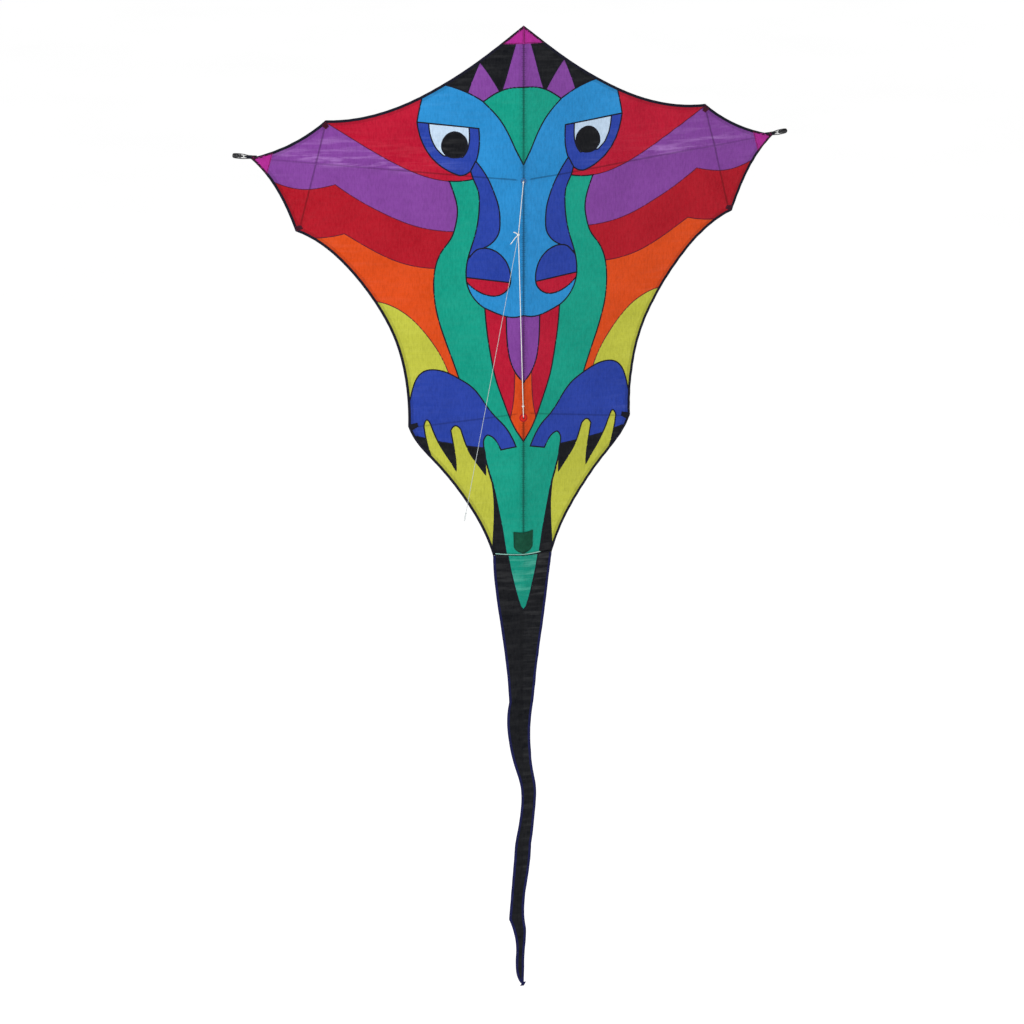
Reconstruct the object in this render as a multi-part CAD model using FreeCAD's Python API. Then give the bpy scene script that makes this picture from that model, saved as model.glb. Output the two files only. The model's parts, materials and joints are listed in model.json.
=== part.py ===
import FreeCAD, Part
import math
import os

# Dragon-shaped single-line kite, in millimetres. +Z runs up the spine to the nose, the flying
# side faces -Y, and the origin lies on the flat back face of the spreader hub.
# Each wing is drawn flat, facing -Y, and is then turned back by the dihedral about its hinge.

Vector = FreeCAD.Vector
X_AXIS = Vector(1, 0, 0)
Y_AXIS = Vector(0, 1, 0)
Z_AXIS = Vector(0, 0, 1)

# ---- driving dimensions ----------------------------------------------------------------
DIHEDRAL = 9.0            # sweep of each wing behind the flat plane, degrees
NOSE_Z = 385.0            # top of the sail
SAIL_FOOT_Z = -957.0      # fold line where the tail begins
TAIL_TIP_Z = -2100.0
SAIL_T = 0.6              # cloth solids
BINDING_W = 5.6           # edge tape folded over the sail's edge
BINDING_PROUD = 0.4       # how far the tape stands off each face of the cloth
SPINE_R = 3.0
SPREADER_R = 2.5
LOWER_SPREADER_R = 2.0
BATTEN_R = 1.5
HUB_R = 5.6
HUB_HALF = 15.0           # half the length of a hub along the spine
HUB_PAD = 5.0             # half the width of a hub's flat back pad
LOWER_HUB_Z = -592.0
SPREADER_RISE = 5.7       # the upper spreader climbs towards the wing tips, degrees
LOWER_SPREADER_FALL = 6.4
SPREADER_END_X = 713.0    # outer end of the tip nock on the flat wing
LOWER_SPREADER_END_X = 276.0
CENTRE_HALF = 9.0         # half the width of the cloth strip that stays on the spine
HINGE_X = 9.0             # each wing turns about a vertical line here
GAP = 0.3                 # clearance between cloth on different bodies
CORD_R = 1.0              # bridle line
LEADER_R = 0.6            # flying line leader
JOINT_GAP = 0.5           # half the slot between two lengths of tail

SPINE_Y = -HUB_R
SAIL_FRONT = SPINE_Y - 6.5
SAIL_BACK = SAIL_FRONT + SAIL_T
TAPE_FRONT = SAIL_FRONT - BINDING_PROUD
TAPE_BACK = SAIL_BACK + BINDING_PROUD
BATTEN_Y = SAIL_BACK + BATTEN_R + 0.05

# bridle and leader, taut and pulled towards the left wing
BRIDLE_Y = SAIL_FRONT - 2.2
UPPER_EYE = Vector(0, BRIDLE_Y, -2)
LOWER_EYE = Vector(0, BRIDLE_Y, -603)
TOW_POINT = Vector(-38, SAIL_FRONT - 110, -113)
LEADER_END = Vector(-220, SAIL_FRONT - 330, -750)
KNOT_R = 3.2

PARTS = "parts"


# ---- small builders --------------------------------------------------------------------
def edges_through(start, *runs):
    """Edges in the XZ plane. A run of one point is a straight edge, a longer one is a smooth
    curve through its points, and each run goes on from the last point of the one before."""
    edges = []
    here = start
    for run in runs:
        points = [Vector(x, 0, z) for x, z in [here] + run]
        if len(points) == 2:
            edges.append(Part.LineSegment(points[0], points[1]).toShape())
        else:
            spline = Part.BSplineCurve()
            spline.interpolate(points)
            edges.append(spline.toShape())
        here = run[-1]
    return edges


def outline(start, *runs):
    return Part.Face(Part.Wire(edges_through(start, *runs)))


def box(x0, x1, y0, y1, z0, z1):
    return Part.makeBox(x1 - x0, y1 - y0, z1 - z0, Vector(x0, y0, z0))


def rod(start, end, radius):
    return Part.makeCylinder(radius, (end - start).Length, start, end - start)


def upright(radius, x, y, z0, z1):
    return Part.makeCylinder(radius, z1 - z0, Vector(x, y, z0), Z_AXIS)


def sheet_of(shape, y0, y1):
    """Solids of cloth between two depths, one for each face, without stray slivers."""
    smallest = 8.0
    solids = []
    for face in shape.Faces:
        if face.Area > smallest:
            plate = face.extrude(Vector(0, y1 - y0, 0))
            plate.translate(Vector(0, y0, 0))
            solids.append(plate)
    return Part.makeCompound(solids)


def cord_path(points):
    """Straight runs joined by tangent arcs, as large as each pair of runs allows."""
    edges = []
    here = points[0]
    for before, corner, after in zip(points, points[1:], points[2:]):
        into = (corner - before).normalize()
        out = (after - corner).normalize()
        turn = into.getAngle(out)
        shorter = min((corner - before).Length, (after - corner).Length)
        reach = 0.45 * shorter
        radius = reach / math.tan(turn / 2)
        print("cord arc radius %.1f mm" % radius)
        arc_start = corner - into * reach
        arc_end = corner + out * reach
        inward = (out - into).normalize()
        middle = corner + inward * (radius / math.cos(turn / 2) - radius)
        edges.append(Part.LineSegment(here, arc_start).toShape())
        edges.append(Part.Arc(arc_start, middle, arc_end).toShape())
        here = arc_end
    edges.append(Part.LineSegment(here, points[-1]).toShape())
    return Part.Wire(edges)


def tube_along(points, radius):
    path = cord_path(points)
    section = Part.Wire(Part.makeCircle(radius, points[0], points[1] - points[0]))
    return path.makePipeShell([section], True, False)


def save(name, shape):
    shape.exportStep(os.path.join(PARTS, name + ".step"))


# ---- the sail's outline, right half, flat ----------------------------------------------
TIP_CORNER = (672, 66)
UPPER_BATTEN_CORNER = (486, 156)
LOWER_BATTEN_CORNER = (562, -120)
LEADING_EDGE = [(60, 337), (130, 285), (205, 238), (300, 191), (395, 163), UPPER_BATTEN_CORNER]
LEADING_TIP = [(548, 112), (608, 84), TIP_CORNER]
TRAILING_TIP = [(627, 15), (590, -50), LOWER_BATTEN_CORNER]
TRAILING_WING = [(506, -150), (425, -226), (369, -302), (322, -392), (294, -500), (287, -620)]
TRAILING_HIP = [(272, -652), (216, -720), (154, -800), (97, -900), (76, -957)]
TAIL_START = (70, -1030)


def whole_outline():
    """Both halves of the sail with the first of the tail, closed straight across the foot."""
    right = edges_through((0, NOSE_Z), LEADING_EDGE, LEADING_TIP, TRAILING_TIP, TRAILING_WING,
                          TRAILING_HIP, [TAIL_START], [(0, TAIL_START[1])])
    left = [edge.mirror(Vector(0, 0, 0), X_AXIS) for edge in right]
    return Part.Face(Part.Wire(Part.__sortEdges__(right + left)))


def tape_along(edge):
    """Strip of edge tape, as wide inside the edge as outside it."""
    stations = 9
    overrun = 2.0
    rows = []
    for side in (-1, 1):
        row = []
        for k in range(stations):
            at = edge.FirstParameter + (edge.LastParameter - edge.FirstParameter) * k / (
                stations - 1)
            tangent = edge.tangentAt(at)
            point = edge.valueAt(at) + tangent.cross(Y_AXIS) * (side * BINDING_W)
            if k == 0:
                point = point - tangent * overrun
            if k == stations - 1:
                point = point + tangent * overrun
            row.append((point.x, point.z))
        rows.append(row)
    inner, outer = rows
    return outline(inner[0], inner[1:], [outer[-1]], outer[-2::-1], [inner[0]])


def window(x0, x1):
    """Face that keeps what lies between x0 and x1, above the fold line."""
    return outline((x0, SAIL_FOOT_Z), [(x1, SAIL_FOOT_Z)], [(x1, 400)], [(x0, 400)],
                   [(x0, SAIL_FOOT_Z)])


SAIL = whole_outline()
TAPES = [tape_along(edge) for edge in edges_through(
    (0, NOSE_Z), LEADING_EDGE, LEADING_TIP, TRAILING_TIP, TRAILING_WING, TRAILING_HIP)]
WING_WINDOW = window(CENTRE_HALF + GAP, 800)
CENTRE_WINDOW = window(-CENTRE_HALF, CENTRE_HALF)

# ---- panels of cloth: later ones lie over earlier ones ---------------------------------
HEAD_BROW = [(122, 212), (160, 230), (200, 242)]
HEAD_SIDE = [(254, 190), (262, 149)]
SOCKET_UNDER = [(256, 118), (243, 85), (222, 55), (195, 32), (157, 14)]
JAW_SIDE = [(124, 5), (112, -25), (109, -60), (113, -105), (122, -145), (136, -190), (142, -235)]
HEAD = outline((98, 197), HEAD_BROW, [(240, 240)], HEAD_SIDE, SOCKET_UNDER, [(130, 24)],
               JAW_SIDE, [(136, -272), (120, -300), (97, -321)],
               [(60, -338), (25, -346), (0, -341)], [(0, 197)], [(98, 197)])

THROAT = outline((97, -300), [(94, -345), (88, -400), (79, -455), (66, -512), (50, -558),
                              (34, -602), (0, -662)], [(0, -300)], [(97, -300)])

PANELS = [
    ("black_panels", WING_WINDOW),
    ("wing_yellow", outline((150, -290), [(400, -290)], [(400, -560)], [(150, -560)],
                            [(150, -290)])),
    ("wing_orange", outline((382, -299), [(325, -313), (284, -340), (243, -384), (206, -440),
                                          (180, -505)], [(140, -505)], [(140, -100)],
                            [(560, -100)], [(382, -299)])),
    ("wing_red", outline((545, -136), [(490, -137), (442, -128)],
                         [(386, -163), (304, -203), (250, -216), (200, -219)],
                         [(140, -219)], [(140, 20)], [(680, 20)], [(600, -136)],
                         [(545, -136)])),
    ("wing_purple", outline((640, 18), [(597, -3), (545, -15), (500, -12), (464, -4)],
                            [(405, -45), (344, -79), (263, -113), (200, -125), (150, -127)],
                            [(140, 150)], [(700, 160)], [(640, 18)])),
    ("green_panels", outline((190, 20), [(172, -30), (163, -80), (168, -112), (178, -142),
                                         (202, -176), (217, -212), (222, -250), (221, -290),
                                         (214, -335), (202, -378), (186, -425), (160, -500)],
                             [(130, -640)], [(60, -690)], [(0, -690)], [(0, 20)],
                             [(190, 20)])),
    ("red_face_panels", outline((110, 30), [(120, 6)],
                                [(160, 0), (203, 3), (263, 21), (344, 62), (425, 112),
                                 (487, 152)], [(487, 210)], [(235, 300)], [(110, 30)])),
    ("purple_trim_panels", outline((0, 395), [(18, 345), (35, 285), (54, 222)], [(54, 190)],
                                   [(0, 190)], [(0, 395)])),
    ("purple_trim_panels", outline((58, 222), [(82, 262), (107, 297)], [(122, 262), (140, 212)],
                                   [(99, 190)], [(58, 222)])),
    ("red_face_panels", THROAT),
    ("wing_orange", outline((21, -450), [(22, -520), (26, -570), (36, -612)], [(36, -680)],
                            [(0, -680)], [(0, -450)], [(21, -450)]).common(THROAT)),
    ("purple_trim_panels", outline((43, -330), [(42, -380), (38, -430), (28, -470), (13, -497),
                                                (0, -511)], [(0, -330)], [(43, -330)])),
    ("head_panel", HEAD),
    ("green_panels", outline((0, 231), [(25, 231), (52, 225), (76, 213), (99, 197)],
                             [(80, 178), (58, 152), (38, 118), (20, 78), (8, 50), (0, 33)],
                             [(0, 231)])),
    ("face_trim_panels", outline((118, 50), [(104, 32), (86, 2), (72, -32), (61, -68),
                                             (58, -104), (61, -132), (73, -152), (96, -168)],
                                 [(125, -185)], [(160, -200)], [(160, 20)], [(131, 26)],
                                 [(118, 50)]).common(HEAD)),
    ("face_trim_panels", outline((110, 131), [(262, 149)], SOCKET_UNDER,
                                 [(132, 24), (116, 52), (109, 90), (110, 131)])),
    ("face_trim_panels", outline((32, -258), [(33, -232), (44, -203), (66, -180), (92, -170)],
                                 [(116, -174), (136, -195), (150, -242)],
                                 [(32, -258)]).common(HEAD)),
    ("red_face_panels", outline((32, -258), [(150, -242)],
                                [(125, -270), (92, -288), (62, -290), (42, -278), (32, -258)]
                                ).common(HEAD)),
    ("eye_white", outline((134, 134), [(233, 145)], [(229, 115), (217, 86), (196, 64)],
                          [(150, 60)], [(136, 85), (133, 110), (134, 134)])),
    ("black_panels", outline((169, 123), [(187, 117), (199, 101), (200, 79), (188, 64),
                                          (169, 59)], [(151, 64), (140, 80), (140, 101),
                                                       (151, 116), (169, 123)])),
    ("thigh_panel", outline((18, -677), [(30, -650), (48, -622), (72, -596), (92, -570),
                                         (125, -525), (165, -497), (198, -481), (228, -476)],
                            [(258, -488), (275, -522), (290, -575)], [(310, -575)],
                            [(310, -641)], [(284, -641)], [(260, -647), (228, -656),
                                                           (190, -664)],
                            [(140, -673), (100, -678)], [(56, -684)], [(18, -677)])),
    ("yellow_hand", outline((224, -712), [(236, -680), (245, -640), (248, -618)],
                            [(240, -604), (232, -613)],
                            [(222, -640), (205, -675), (188, -702), (168, -736)],
                            [(170, -700), (176, -660), (181, -632)],
                            [(170, -620), (156, -630)],
                            [(146, -662), (134, -690), (114, -720), (94, -748)],
                            [(96, -700)], [(88, -735), (78, -768)],
                            [(74, -800), (73, -870), (77, -945)], [(90, -990)],
                            [(320, -760)], [(224, -712)])),
    ("green_panels", outline((0, -672), [(20, -678), (56, -684)],
                             [(66, -664), (78, -650), (90, -645)],
                             [(98, -655), (98, -680), (95, -702)],
                             [(86, -738), (76, -772), (64, -830), (54, -880), (47, -925),
                              (42, -957)], [(42, -970)], [(0, -970)], [(0, -672)])),
]


def cut_panels():
    """What shows of each panel once the ones over it are laid down, by node name."""
    cloth = SAIL.common(WING_WINDOW).cut(TAPES)
    shown = {}
    above = []
    for name, shape in reversed(PANELS):
        piece = shape.common(cloth)
        if above:
            piece = piece.cut(above)
        above.append(shape)
        key = "wing_yellow" if name == "yellow_hand" else name
        shown.setdefault(key, []).extend(piece.Faces)
    return {name: Part.makeCompound(faces) for name, faces in shown.items()}


# ---- one wing --------------------------------------------------------------------------
def on_arm(angle, hub_z):
    """Placement of an arm: local +X runs along the rod from the wing's hinge."""
    turn = FreeCAD.Rotation(Y_AXIS, -angle)
    return FreeCAD.Placement(Vector(HINGE_X, SPINE_Y, hub_z), turn)


def placed(shape, placement):
    copy = shape.copy()
    copy.transformShape(placement.toMatrix())
    return copy


def arm_length(end_x, angle):
    return (end_x - HINGE_X) / math.cos(math.radians(angle))


def sleeve(rod_r, arm_rod, place):
    """Soft vinyl sleeve with a round upright heel, on the wing's hinge line beside the hub."""
    sleeve_start, sleeve_end = 6.0, 52.0
    heel_r, heel_half = 2.4, 4.5
    neck_half = 2.0
    wall = 2.0
    tube = Part.makeCylinder(rod_r + wall, sleeve_end - sleeve_start,
                             Vector(sleeve_start, 0, 0), X_AXIS)
    neck = box(0, sleeve_start + 3, -neck_half, neck_half, -4, 4)
    arm = placed(tube.fuse(neck).cut(arm_rod), place)
    hub_z = place.Base.z
    heel = upright(heel_r, HINGE_X, SPINE_Y, hub_z - heel_half, hub_z + heel_half)
    return arm.fuse(heel)


def tip_nock(length, arm_rod):
    """Split cap on the spreader's end; the tip loop lies in its slot."""
    nock_r, nock_len = 4.2, 22.0
    slot_depth, slot_half = 8.0, 1.3
    body = Part.makeCylinder(nock_r, nock_len, Vector(length - nock_len, 0, 0), X_AXIS)
    slot = box(length - slot_depth, length + 1, -slot_half, slot_half, -6, 6)
    return body.cut([slot, arm_rod])


def tip_loop(length):
    """Shock-cord loop from the sail's corner round the nock."""
    loop_r = 1.2
    reach, side = 1.6, 5.6
    corner_y = TAPE_BACK + 1.2 + loop_r - SPINE_Y
    upper = [Vector(length - 54, corner_y, 2.2), Vector(length - 26, -1.2, side),
             Vector(length - reach, 0, side)]
    lower = [Vector(p.x, p.y, -p.z) for p in reversed(upper)]
    return tube_along(upper + lower, loop_r)


def pocket(x0, x1, half, y1, held):
    """Folded webbing pocket round a rod's end, standing on the back of the sail."""
    return box(x0, x1, TAPE_BACK - SPINE_Y, y1, -half, half).cut(held)


def upper_arm():
    length = arm_length(SPREADER_END_X, SPREADER_RISE)
    arm_rod = Part.makeCylinder(SPREADER_R, length - 19, Vector(10, 0, 0), X_AXIS)
    place = on_arm(SPREADER_RISE, 0)
    return {
        "upper_spreader": placed(arm_rod, place),
        "sleeve": sleeve(SPREADER_R, arm_rod, place),
        "tip_fitting": placed(Part.makeCompound([tip_nock(length, arm_rod), tip_loop(length)]),
                              place),
    }


def lower_arm():
    length = arm_length(LOWER_SPREADER_END_X, LOWER_SPREADER_FALL)
    arm_rod = Part.makeCylinder(LOWER_SPREADER_R, length - 10, Vector(10, 0, 0), X_AXIS)
    place = on_arm(-LOWER_SPREADER_FALL, LOWER_HUB_Z)
    hip_pocket = pocket(length - 20, length + 5, 7, LOWER_SPREADER_R + 1.2, arm_rod)
    return {
        "lower_spreader": placed(arm_rod, place),
        "sleeve": sleeve(LOWER_SPREADER_R, arm_rod, place),
        "pocket": placed(hip_pocket, place),
    }


def batten():
    """Wing batten between the two corners, with a webbing pocket at each end."""
    top = Vector(489, BATTEN_Y, 134)
    foot = Vector(549, BATTEN_Y, -102)
    batten_rod = rod(top, foot, BATTEN_R)
    lean = -math.degrees(math.atan2(top.z - foot.z, foot.x - top.x))
    place = FreeCAD.Placement(Vector(top.x, 0, top.z), FreeCAD.Rotation(Y_AXIS, -lean))
    length = (foot - top).Length
    pockets = []
    for start, end in ((-5, 20), (length - 20, length + 5)):
        block = placed(box(start, end, TAPE_BACK, BATTEN_Y + BATTEN_R + 0.4, -6, 6), place)
        pockets.append(block.cut(batten_rod))
    return batten_rod, pockets


def tip_patch():
    tip_area = outline((634, 0), [(634, 120)], [(690, 120)], [(690, 0)], [(634, 0)])
    return sheet_of(SAIL.common(tip_area), TAPE_BACK, TAPE_BACK + 1.2)


def wing_nodes():
    nodes = {}
    for name, faces in cut_panels().items():
        nodes[name] = sheet_of(faces, SAIL_FRONT, SAIL_BACK)
    half = SAIL.common(WING_WINDOW)
    band = half.cut(half.cut(TAPES))
    nodes["edge_binding"] = sheet_of(band, TAPE_FRONT, TAPE_BACK)
    upper = upper_arm()
    lower = lower_arm()
    batten_rod, batten_pockets = batten()
    nodes["upper_spreader"] = upper["upper_spreader"]
    nodes["lower_spreader"] = lower["lower_spreader"]
    nodes["spreader_sleeves"] = Part.makeCompound([upper["sleeve"], lower["sleeve"]])
    nodes["tip_fitting"] = upper["tip_fitting"]
    nodes["batten"] = batten_rod
    nodes["corner_pockets"] = Part.makeCompound([tip_patch(), lower["pocket"]] + batten_pockets)
    return nodes


def save_wings():
    for name, shape in wing_nodes().items():
        right = shape.copy()
        right.rotate(Vector(HINGE_X, SPINE_Y, 0), Z_AXIS, DIHEDRAL)
        save("right_" + name, right)
        save("left_" + name, right.mirror(Vector(0, 0, 0), X_AXIS))


# ---- spine and centre ------------------------------------------------------------------
SPINE_TOP_Z = 370.0
SPINE_SPLIT_Z = -300.0
SPINE_FOOT_Z = -938.0
CAP_R = 4.0


def hub(z):
    """Moulded fitting on the spine, with a flat back pad."""
    core = upright(HUB_R, 0, SPINE_Y, z - HUB_HALF, z + HUB_HALF)
    pad = box(-HUB_PAD, HUB_PAD, SPINE_Y, 0, z - 12, z + 12)
    bore = upright(SPINE_R, 0, SPINE_Y, z - HUB_HALF - 1, z + HUB_HALF + 1)
    return core.fuse(pad).cut(bore).removeSplitter()


def ring(z, outer, height):
    return upright(outer, 0, SPINE_Y, z, z + height).cut(
        upright(SPINE_R, 0, SPINE_Y, z - 1, z + height + 1))


def spine_cap(z0, z1, rod_shape):
    return upright(CAP_R, 0, SPINE_Y, z0, z1).cut(rod_shape)


def spine_sleeve():
    """Centre strip of the sail with the stitched channel that the spine slides in."""
    strip = sheet_of(SAIL.common(CENTRE_WINDOW), SAIL_FRONT, SAIL_BACK)
    channel_r, bore_r, web_half = 3.9, SPINE_R + 0.05, 1.5
    pieces = [strip.Solids[0]]
    for z0, z1 in ((26, 344), (-268, -26), (-566, -332), (-884, -618)):
        wall = upright(channel_r, 0, SPINE_Y, z0, z1)
        web = box(-web_half, web_half, SAIL_BACK - 0.2, SPINE_Y - 3.2, z0, z1)
        bore = upright(bore_r, 0, SPINE_Y, z0 - 1, z1 + 1)
        pieces.append(wall.fuse(web).cut(bore))
    return pieces[0].fuse(pieces[1:]).removeSplitter()


def nose_pocket():
    """Webbing cup behind the nose that the top of the spine pushes into."""
    cup = box(-8, 8, SAIL_BACK, SPINE_Y + CAP_R + 1.2, 350, 375)
    return cup.cut(upright(CAP_R + 0.05, 0, SPINE_Y, 349, 374))


def spine_patch():
    """Hook-and-loop patch on the flying side that covers the spine's lower end."""
    face = outline((-25, -896), [(0, -898), (25, -893)], [(24, -935)],
                   [(14, -947), (0, -952), (-14, -948), (-24, -936)], [(-25, -896)])
    return sheet_of(face, SAIL_FRONT - GAP - 1.0, SAIL_FRONT - GAP)


def bridle_patches():
    eyelet_r = 1.6
    patches = []
    for eye, radius in ((UPPER_EYE, 7.0), (LOWER_EYE, 10.5)):
        start = Vector(0, SAIL_FRONT - GAP - 0.6, eye.z)
        disc = Part.makeCylinder(radius, 0.6, start, Y_AXIS)
        patches.append(disc.cut(Part.makeCylinder(eyelet_r, 2, start - Y_AXIS, Y_AXIS)))
    return Part.makeCompound(patches)


def save_centre():
    upper = upright(SPINE_R, 0, SPINE_Y, SPINE_SPLIT_Z, SPINE_TOP_Z)
    lower = upright(SPINE_R, 0, SPINE_Y, SPINE_FOOT_Z, SPINE_SPLIT_Z)
    top_cap = spine_cap(SPINE_TOP_Z - 12, SPINE_TOP_Z + 3, upper)
    foot_cap = spine_cap(SPINE_FOOT_Z - 3, SPINE_FOOT_Z + 12, lower)
    stops = []
    for z in (0, LOWER_HUB_Z):
        stops.append(ring(z + HUB_HALF + 0.2, 5.0, 4.0))
        stops.append(ring(z - HUB_HALF - 4.2, 5.0, 4.0))
    save("spine_upper", upper)
    save("spine_lower", lower)
    save("spine_ferrule", ring(SPINE_SPLIT_Z - 30, 4.2, 60))
    save("spine_caps", Part.makeCompound([top_cap, foot_cap]))
    save("spreader_hub", hub(0))
    save("lower_hub", hub(LOWER_HUB_Z))
    save("stopper_rings", Part.makeCompound(stops))
    save("spine_sleeve", spine_sleeve())
    save("nose_pocket", nose_pocket())
    save("spine_patch", spine_patch())
    save("bridle_patches", bridle_patches())


def save_flap():
    """Strap that turns round the foot of the spine and presses shut behind it."""
    strap_half, strap_t = 8.0, 0.8
    back_y = SPINE_Y + CAP_R + 0.5
    foot_z = SPINE_FOOT_Z - 9
    foot = box(-strap_half, strap_half, SAIL_BACK + 2 * GAP, back_y + strap_t, foot_z,
               foot_z + strap_t)
    back = box(-strap_half, strap_half, back_y, back_y + strap_t, foot_z, foot_z + 61)
    save("pocket_flap", foot.fuse(back).removeSplitter())


# ---- bridle, leader and tail -----------------------------------------------------------
def along(start, end, distance):
    return start + (end - start).normalize() * distance


def tow_knot():
    """Overhand knot that joins the two legs, with its two cut ends."""
    knot = Part.makeSphere(KNOT_R, TOW_POINT)
    short_end = rod(TOW_POINT, TOW_POINT + Vector(-13, -4, 8), 1.3)
    long_end = rod(TOW_POINT, TOW_POINT + Vector(-20, -2, -22), CORD_R)
    return knot.fuse([short_end, long_end])


def save_bridle():
    knot = tow_knot()
    upper = rod(UPPER_EYE, TOW_POINT, CORD_R)
    lower = rod(LOWER_EYE, TOW_POINT, CORD_R)
    bead = Part.makeSphere(3.2, along(LOWER_EYE, TOW_POINT, 32))
    eye_knot = Part.makeSphere(2.4, along(UPPER_EYE, TOW_POINT, 4.5))
    knots = Part.makeCompound([eye_knot, bead])
    save("bridle_upper_leg", upper.cut([knot, eye_knot]))
    save("bridle_lower_leg", lower.cut([knot, bead]))
    save("bridle_knots", knots)
    save("tow_knot", knot)


def save_leader():
    start = along(TOW_POINT, LEADER_END, KNOT_R + 0.5)
    line = rod(start, LEADER_END, LEADER_R)
    down = (LEADER_END - start).normalize()
    loop_r = 9.0
    loop_centre = LEADER_END + down * (loop_r + 1.5)
    loop = Part.makeTorus(loop_r, LEADER_R, loop_centre, Y_AXIS.cross(down))
    knot = Part.makeSphere(2.0, LEADER_END)
    loop_end = knot.fuse(loop)
    save("leader_line", line.cut(loop_end))
    save("leader_loop", loop_end)
    print("leader %.0f mm, legs %.0f and %.0f mm" % (
        (LEADER_END - TOW_POINT).Length, (TOW_POINT - UPPER_EYE).Length,
        (TOW_POINT - LOWER_EYE).Length))


TAIL_LENGTHS = [
    ("tail_upper", outline((-76, SAIL_FOOT_Z - JOINT_GAP),
                           [(-73, -1020), (-58, -1140), (-46, -1230), (-36, -1340 + JOINT_GAP)],
                           [(26, -1340 + JOINT_GAP)],
                           [(38, -1230), (50, -1140), (67, -1020), (76, SAIL_FOOT_Z - JOINT_GAP)],
                           [(-76, SAIL_FOOT_Z - JOINT_GAP)])),
    ("tail_middle", outline((-36, -1340 - JOINT_GAP),
                            [(-41, -1400), (-34, -1460), (-21, -1515), (-7, -1565), (-5, -1605),
                             (-11, -1660), (-21, -1720 + JOINT_GAP)],
                            [(21, -1720 + JOINT_GAP)],
                            [(29, -1660), (33, -1610), (34, -1575), (25, -1520), (19, -1465),
                             (18, -1410), (26, -1340 - JOINT_GAP)],
                            [(-36, -1340 - JOINT_GAP)])),
    ("tail_lower", outline((-21, -1720 - JOINT_GAP), [(-28, -1815), (-36, -1920)],
                           [(-26, -1948), (-18, -1995), (-19, -2055), (-8, -2090),
                            (2, TAIL_TIP_Z)],
                           [(3, -2055), (4, -2005), (7, -1945), (4, -1925), (11, -1815),
                            (21, -1720 - JOINT_GAP)], [(-21, -1720 - JOINT_GAP)])),
]


def save_tail():
    for name, face in TAIL_LENGTHS:
        save(name, sheet_of(face, SAIL_FRONT, SAIL_BACK))


os.makedirs(PARTS, exist_ok=True)
save_wings()
save_centre()
save_flap()
save_bridle()
save_leader()
save_tail()
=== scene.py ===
import json
import math

import bpy
import numpy as np
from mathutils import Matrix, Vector
from mathutils.geometry import delaunay_2d_cdt
from mathutils.kdtree import KDTree


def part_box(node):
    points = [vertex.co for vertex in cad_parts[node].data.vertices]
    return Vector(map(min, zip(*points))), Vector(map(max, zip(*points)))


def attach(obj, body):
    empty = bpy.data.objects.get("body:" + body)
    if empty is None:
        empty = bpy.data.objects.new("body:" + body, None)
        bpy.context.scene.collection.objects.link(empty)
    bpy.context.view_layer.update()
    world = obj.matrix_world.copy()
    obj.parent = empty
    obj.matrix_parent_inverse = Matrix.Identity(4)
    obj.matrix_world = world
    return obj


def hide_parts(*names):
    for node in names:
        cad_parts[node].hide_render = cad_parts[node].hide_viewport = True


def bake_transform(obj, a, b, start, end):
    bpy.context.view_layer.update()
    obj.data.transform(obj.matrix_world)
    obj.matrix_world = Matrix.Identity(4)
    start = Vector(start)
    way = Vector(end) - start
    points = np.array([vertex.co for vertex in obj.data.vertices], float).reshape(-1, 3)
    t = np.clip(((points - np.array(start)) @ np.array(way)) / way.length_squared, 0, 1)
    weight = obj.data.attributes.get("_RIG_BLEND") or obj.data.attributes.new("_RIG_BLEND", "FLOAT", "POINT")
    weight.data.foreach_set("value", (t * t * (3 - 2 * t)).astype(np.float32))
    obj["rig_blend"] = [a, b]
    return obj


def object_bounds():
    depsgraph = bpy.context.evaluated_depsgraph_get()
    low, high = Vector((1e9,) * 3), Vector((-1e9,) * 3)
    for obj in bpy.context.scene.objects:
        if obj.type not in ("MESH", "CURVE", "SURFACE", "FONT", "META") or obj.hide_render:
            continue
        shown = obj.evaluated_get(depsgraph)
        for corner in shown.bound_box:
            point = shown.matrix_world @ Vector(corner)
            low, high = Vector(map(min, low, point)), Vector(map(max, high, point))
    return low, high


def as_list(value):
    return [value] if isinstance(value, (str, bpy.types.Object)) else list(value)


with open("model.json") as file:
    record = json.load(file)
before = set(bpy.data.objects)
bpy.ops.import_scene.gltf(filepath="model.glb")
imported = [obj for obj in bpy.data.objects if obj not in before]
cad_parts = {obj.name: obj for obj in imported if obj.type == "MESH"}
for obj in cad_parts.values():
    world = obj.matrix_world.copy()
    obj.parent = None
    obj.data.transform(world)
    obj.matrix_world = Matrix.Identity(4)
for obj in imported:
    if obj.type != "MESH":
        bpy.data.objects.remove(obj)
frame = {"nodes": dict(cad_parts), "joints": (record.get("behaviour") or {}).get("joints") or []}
CAD_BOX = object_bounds()
NODES = frame["nodes"]
JOINTS = {j["name"]: j for j in frame["joints"]}
MM = 0.001
ROOT = "spine_frame"

# ---- the sail's planes, read from the frame ---------------------------------------------
HINGE = Vector(JOINTS["right_wing_fold"]["pos_m"])
DIHEDRAL = math.radians(9)
CENTRE_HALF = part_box("spine_sleeve")[1].x
SAIL_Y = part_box("spine_sleeve")[0].y
FOLD_Z = JOINTS["tail_root"]["pos_m"][2]
NOSE_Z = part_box("spine_sleeve")[1].z
SPINE_Y = HINGE.y


# ---- camera -------------------------------------------------------------------------------
def aim(obj, target):
    obj.rotation_euler = (Vector(target) - obj.location).to_track_quat("-Z", "Y").to_euler()


CAMERA_TARGET = Vector((-0.0287, SAIL_Y, -0.8446))
CAMERA_AZIMUTH, CAMERA_ELEVATION = math.radians(-13), math.radians(15)
CAMERA_DISTANCE = 14
LENS_MM, SENSOR_MM = 196.9, 36


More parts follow.
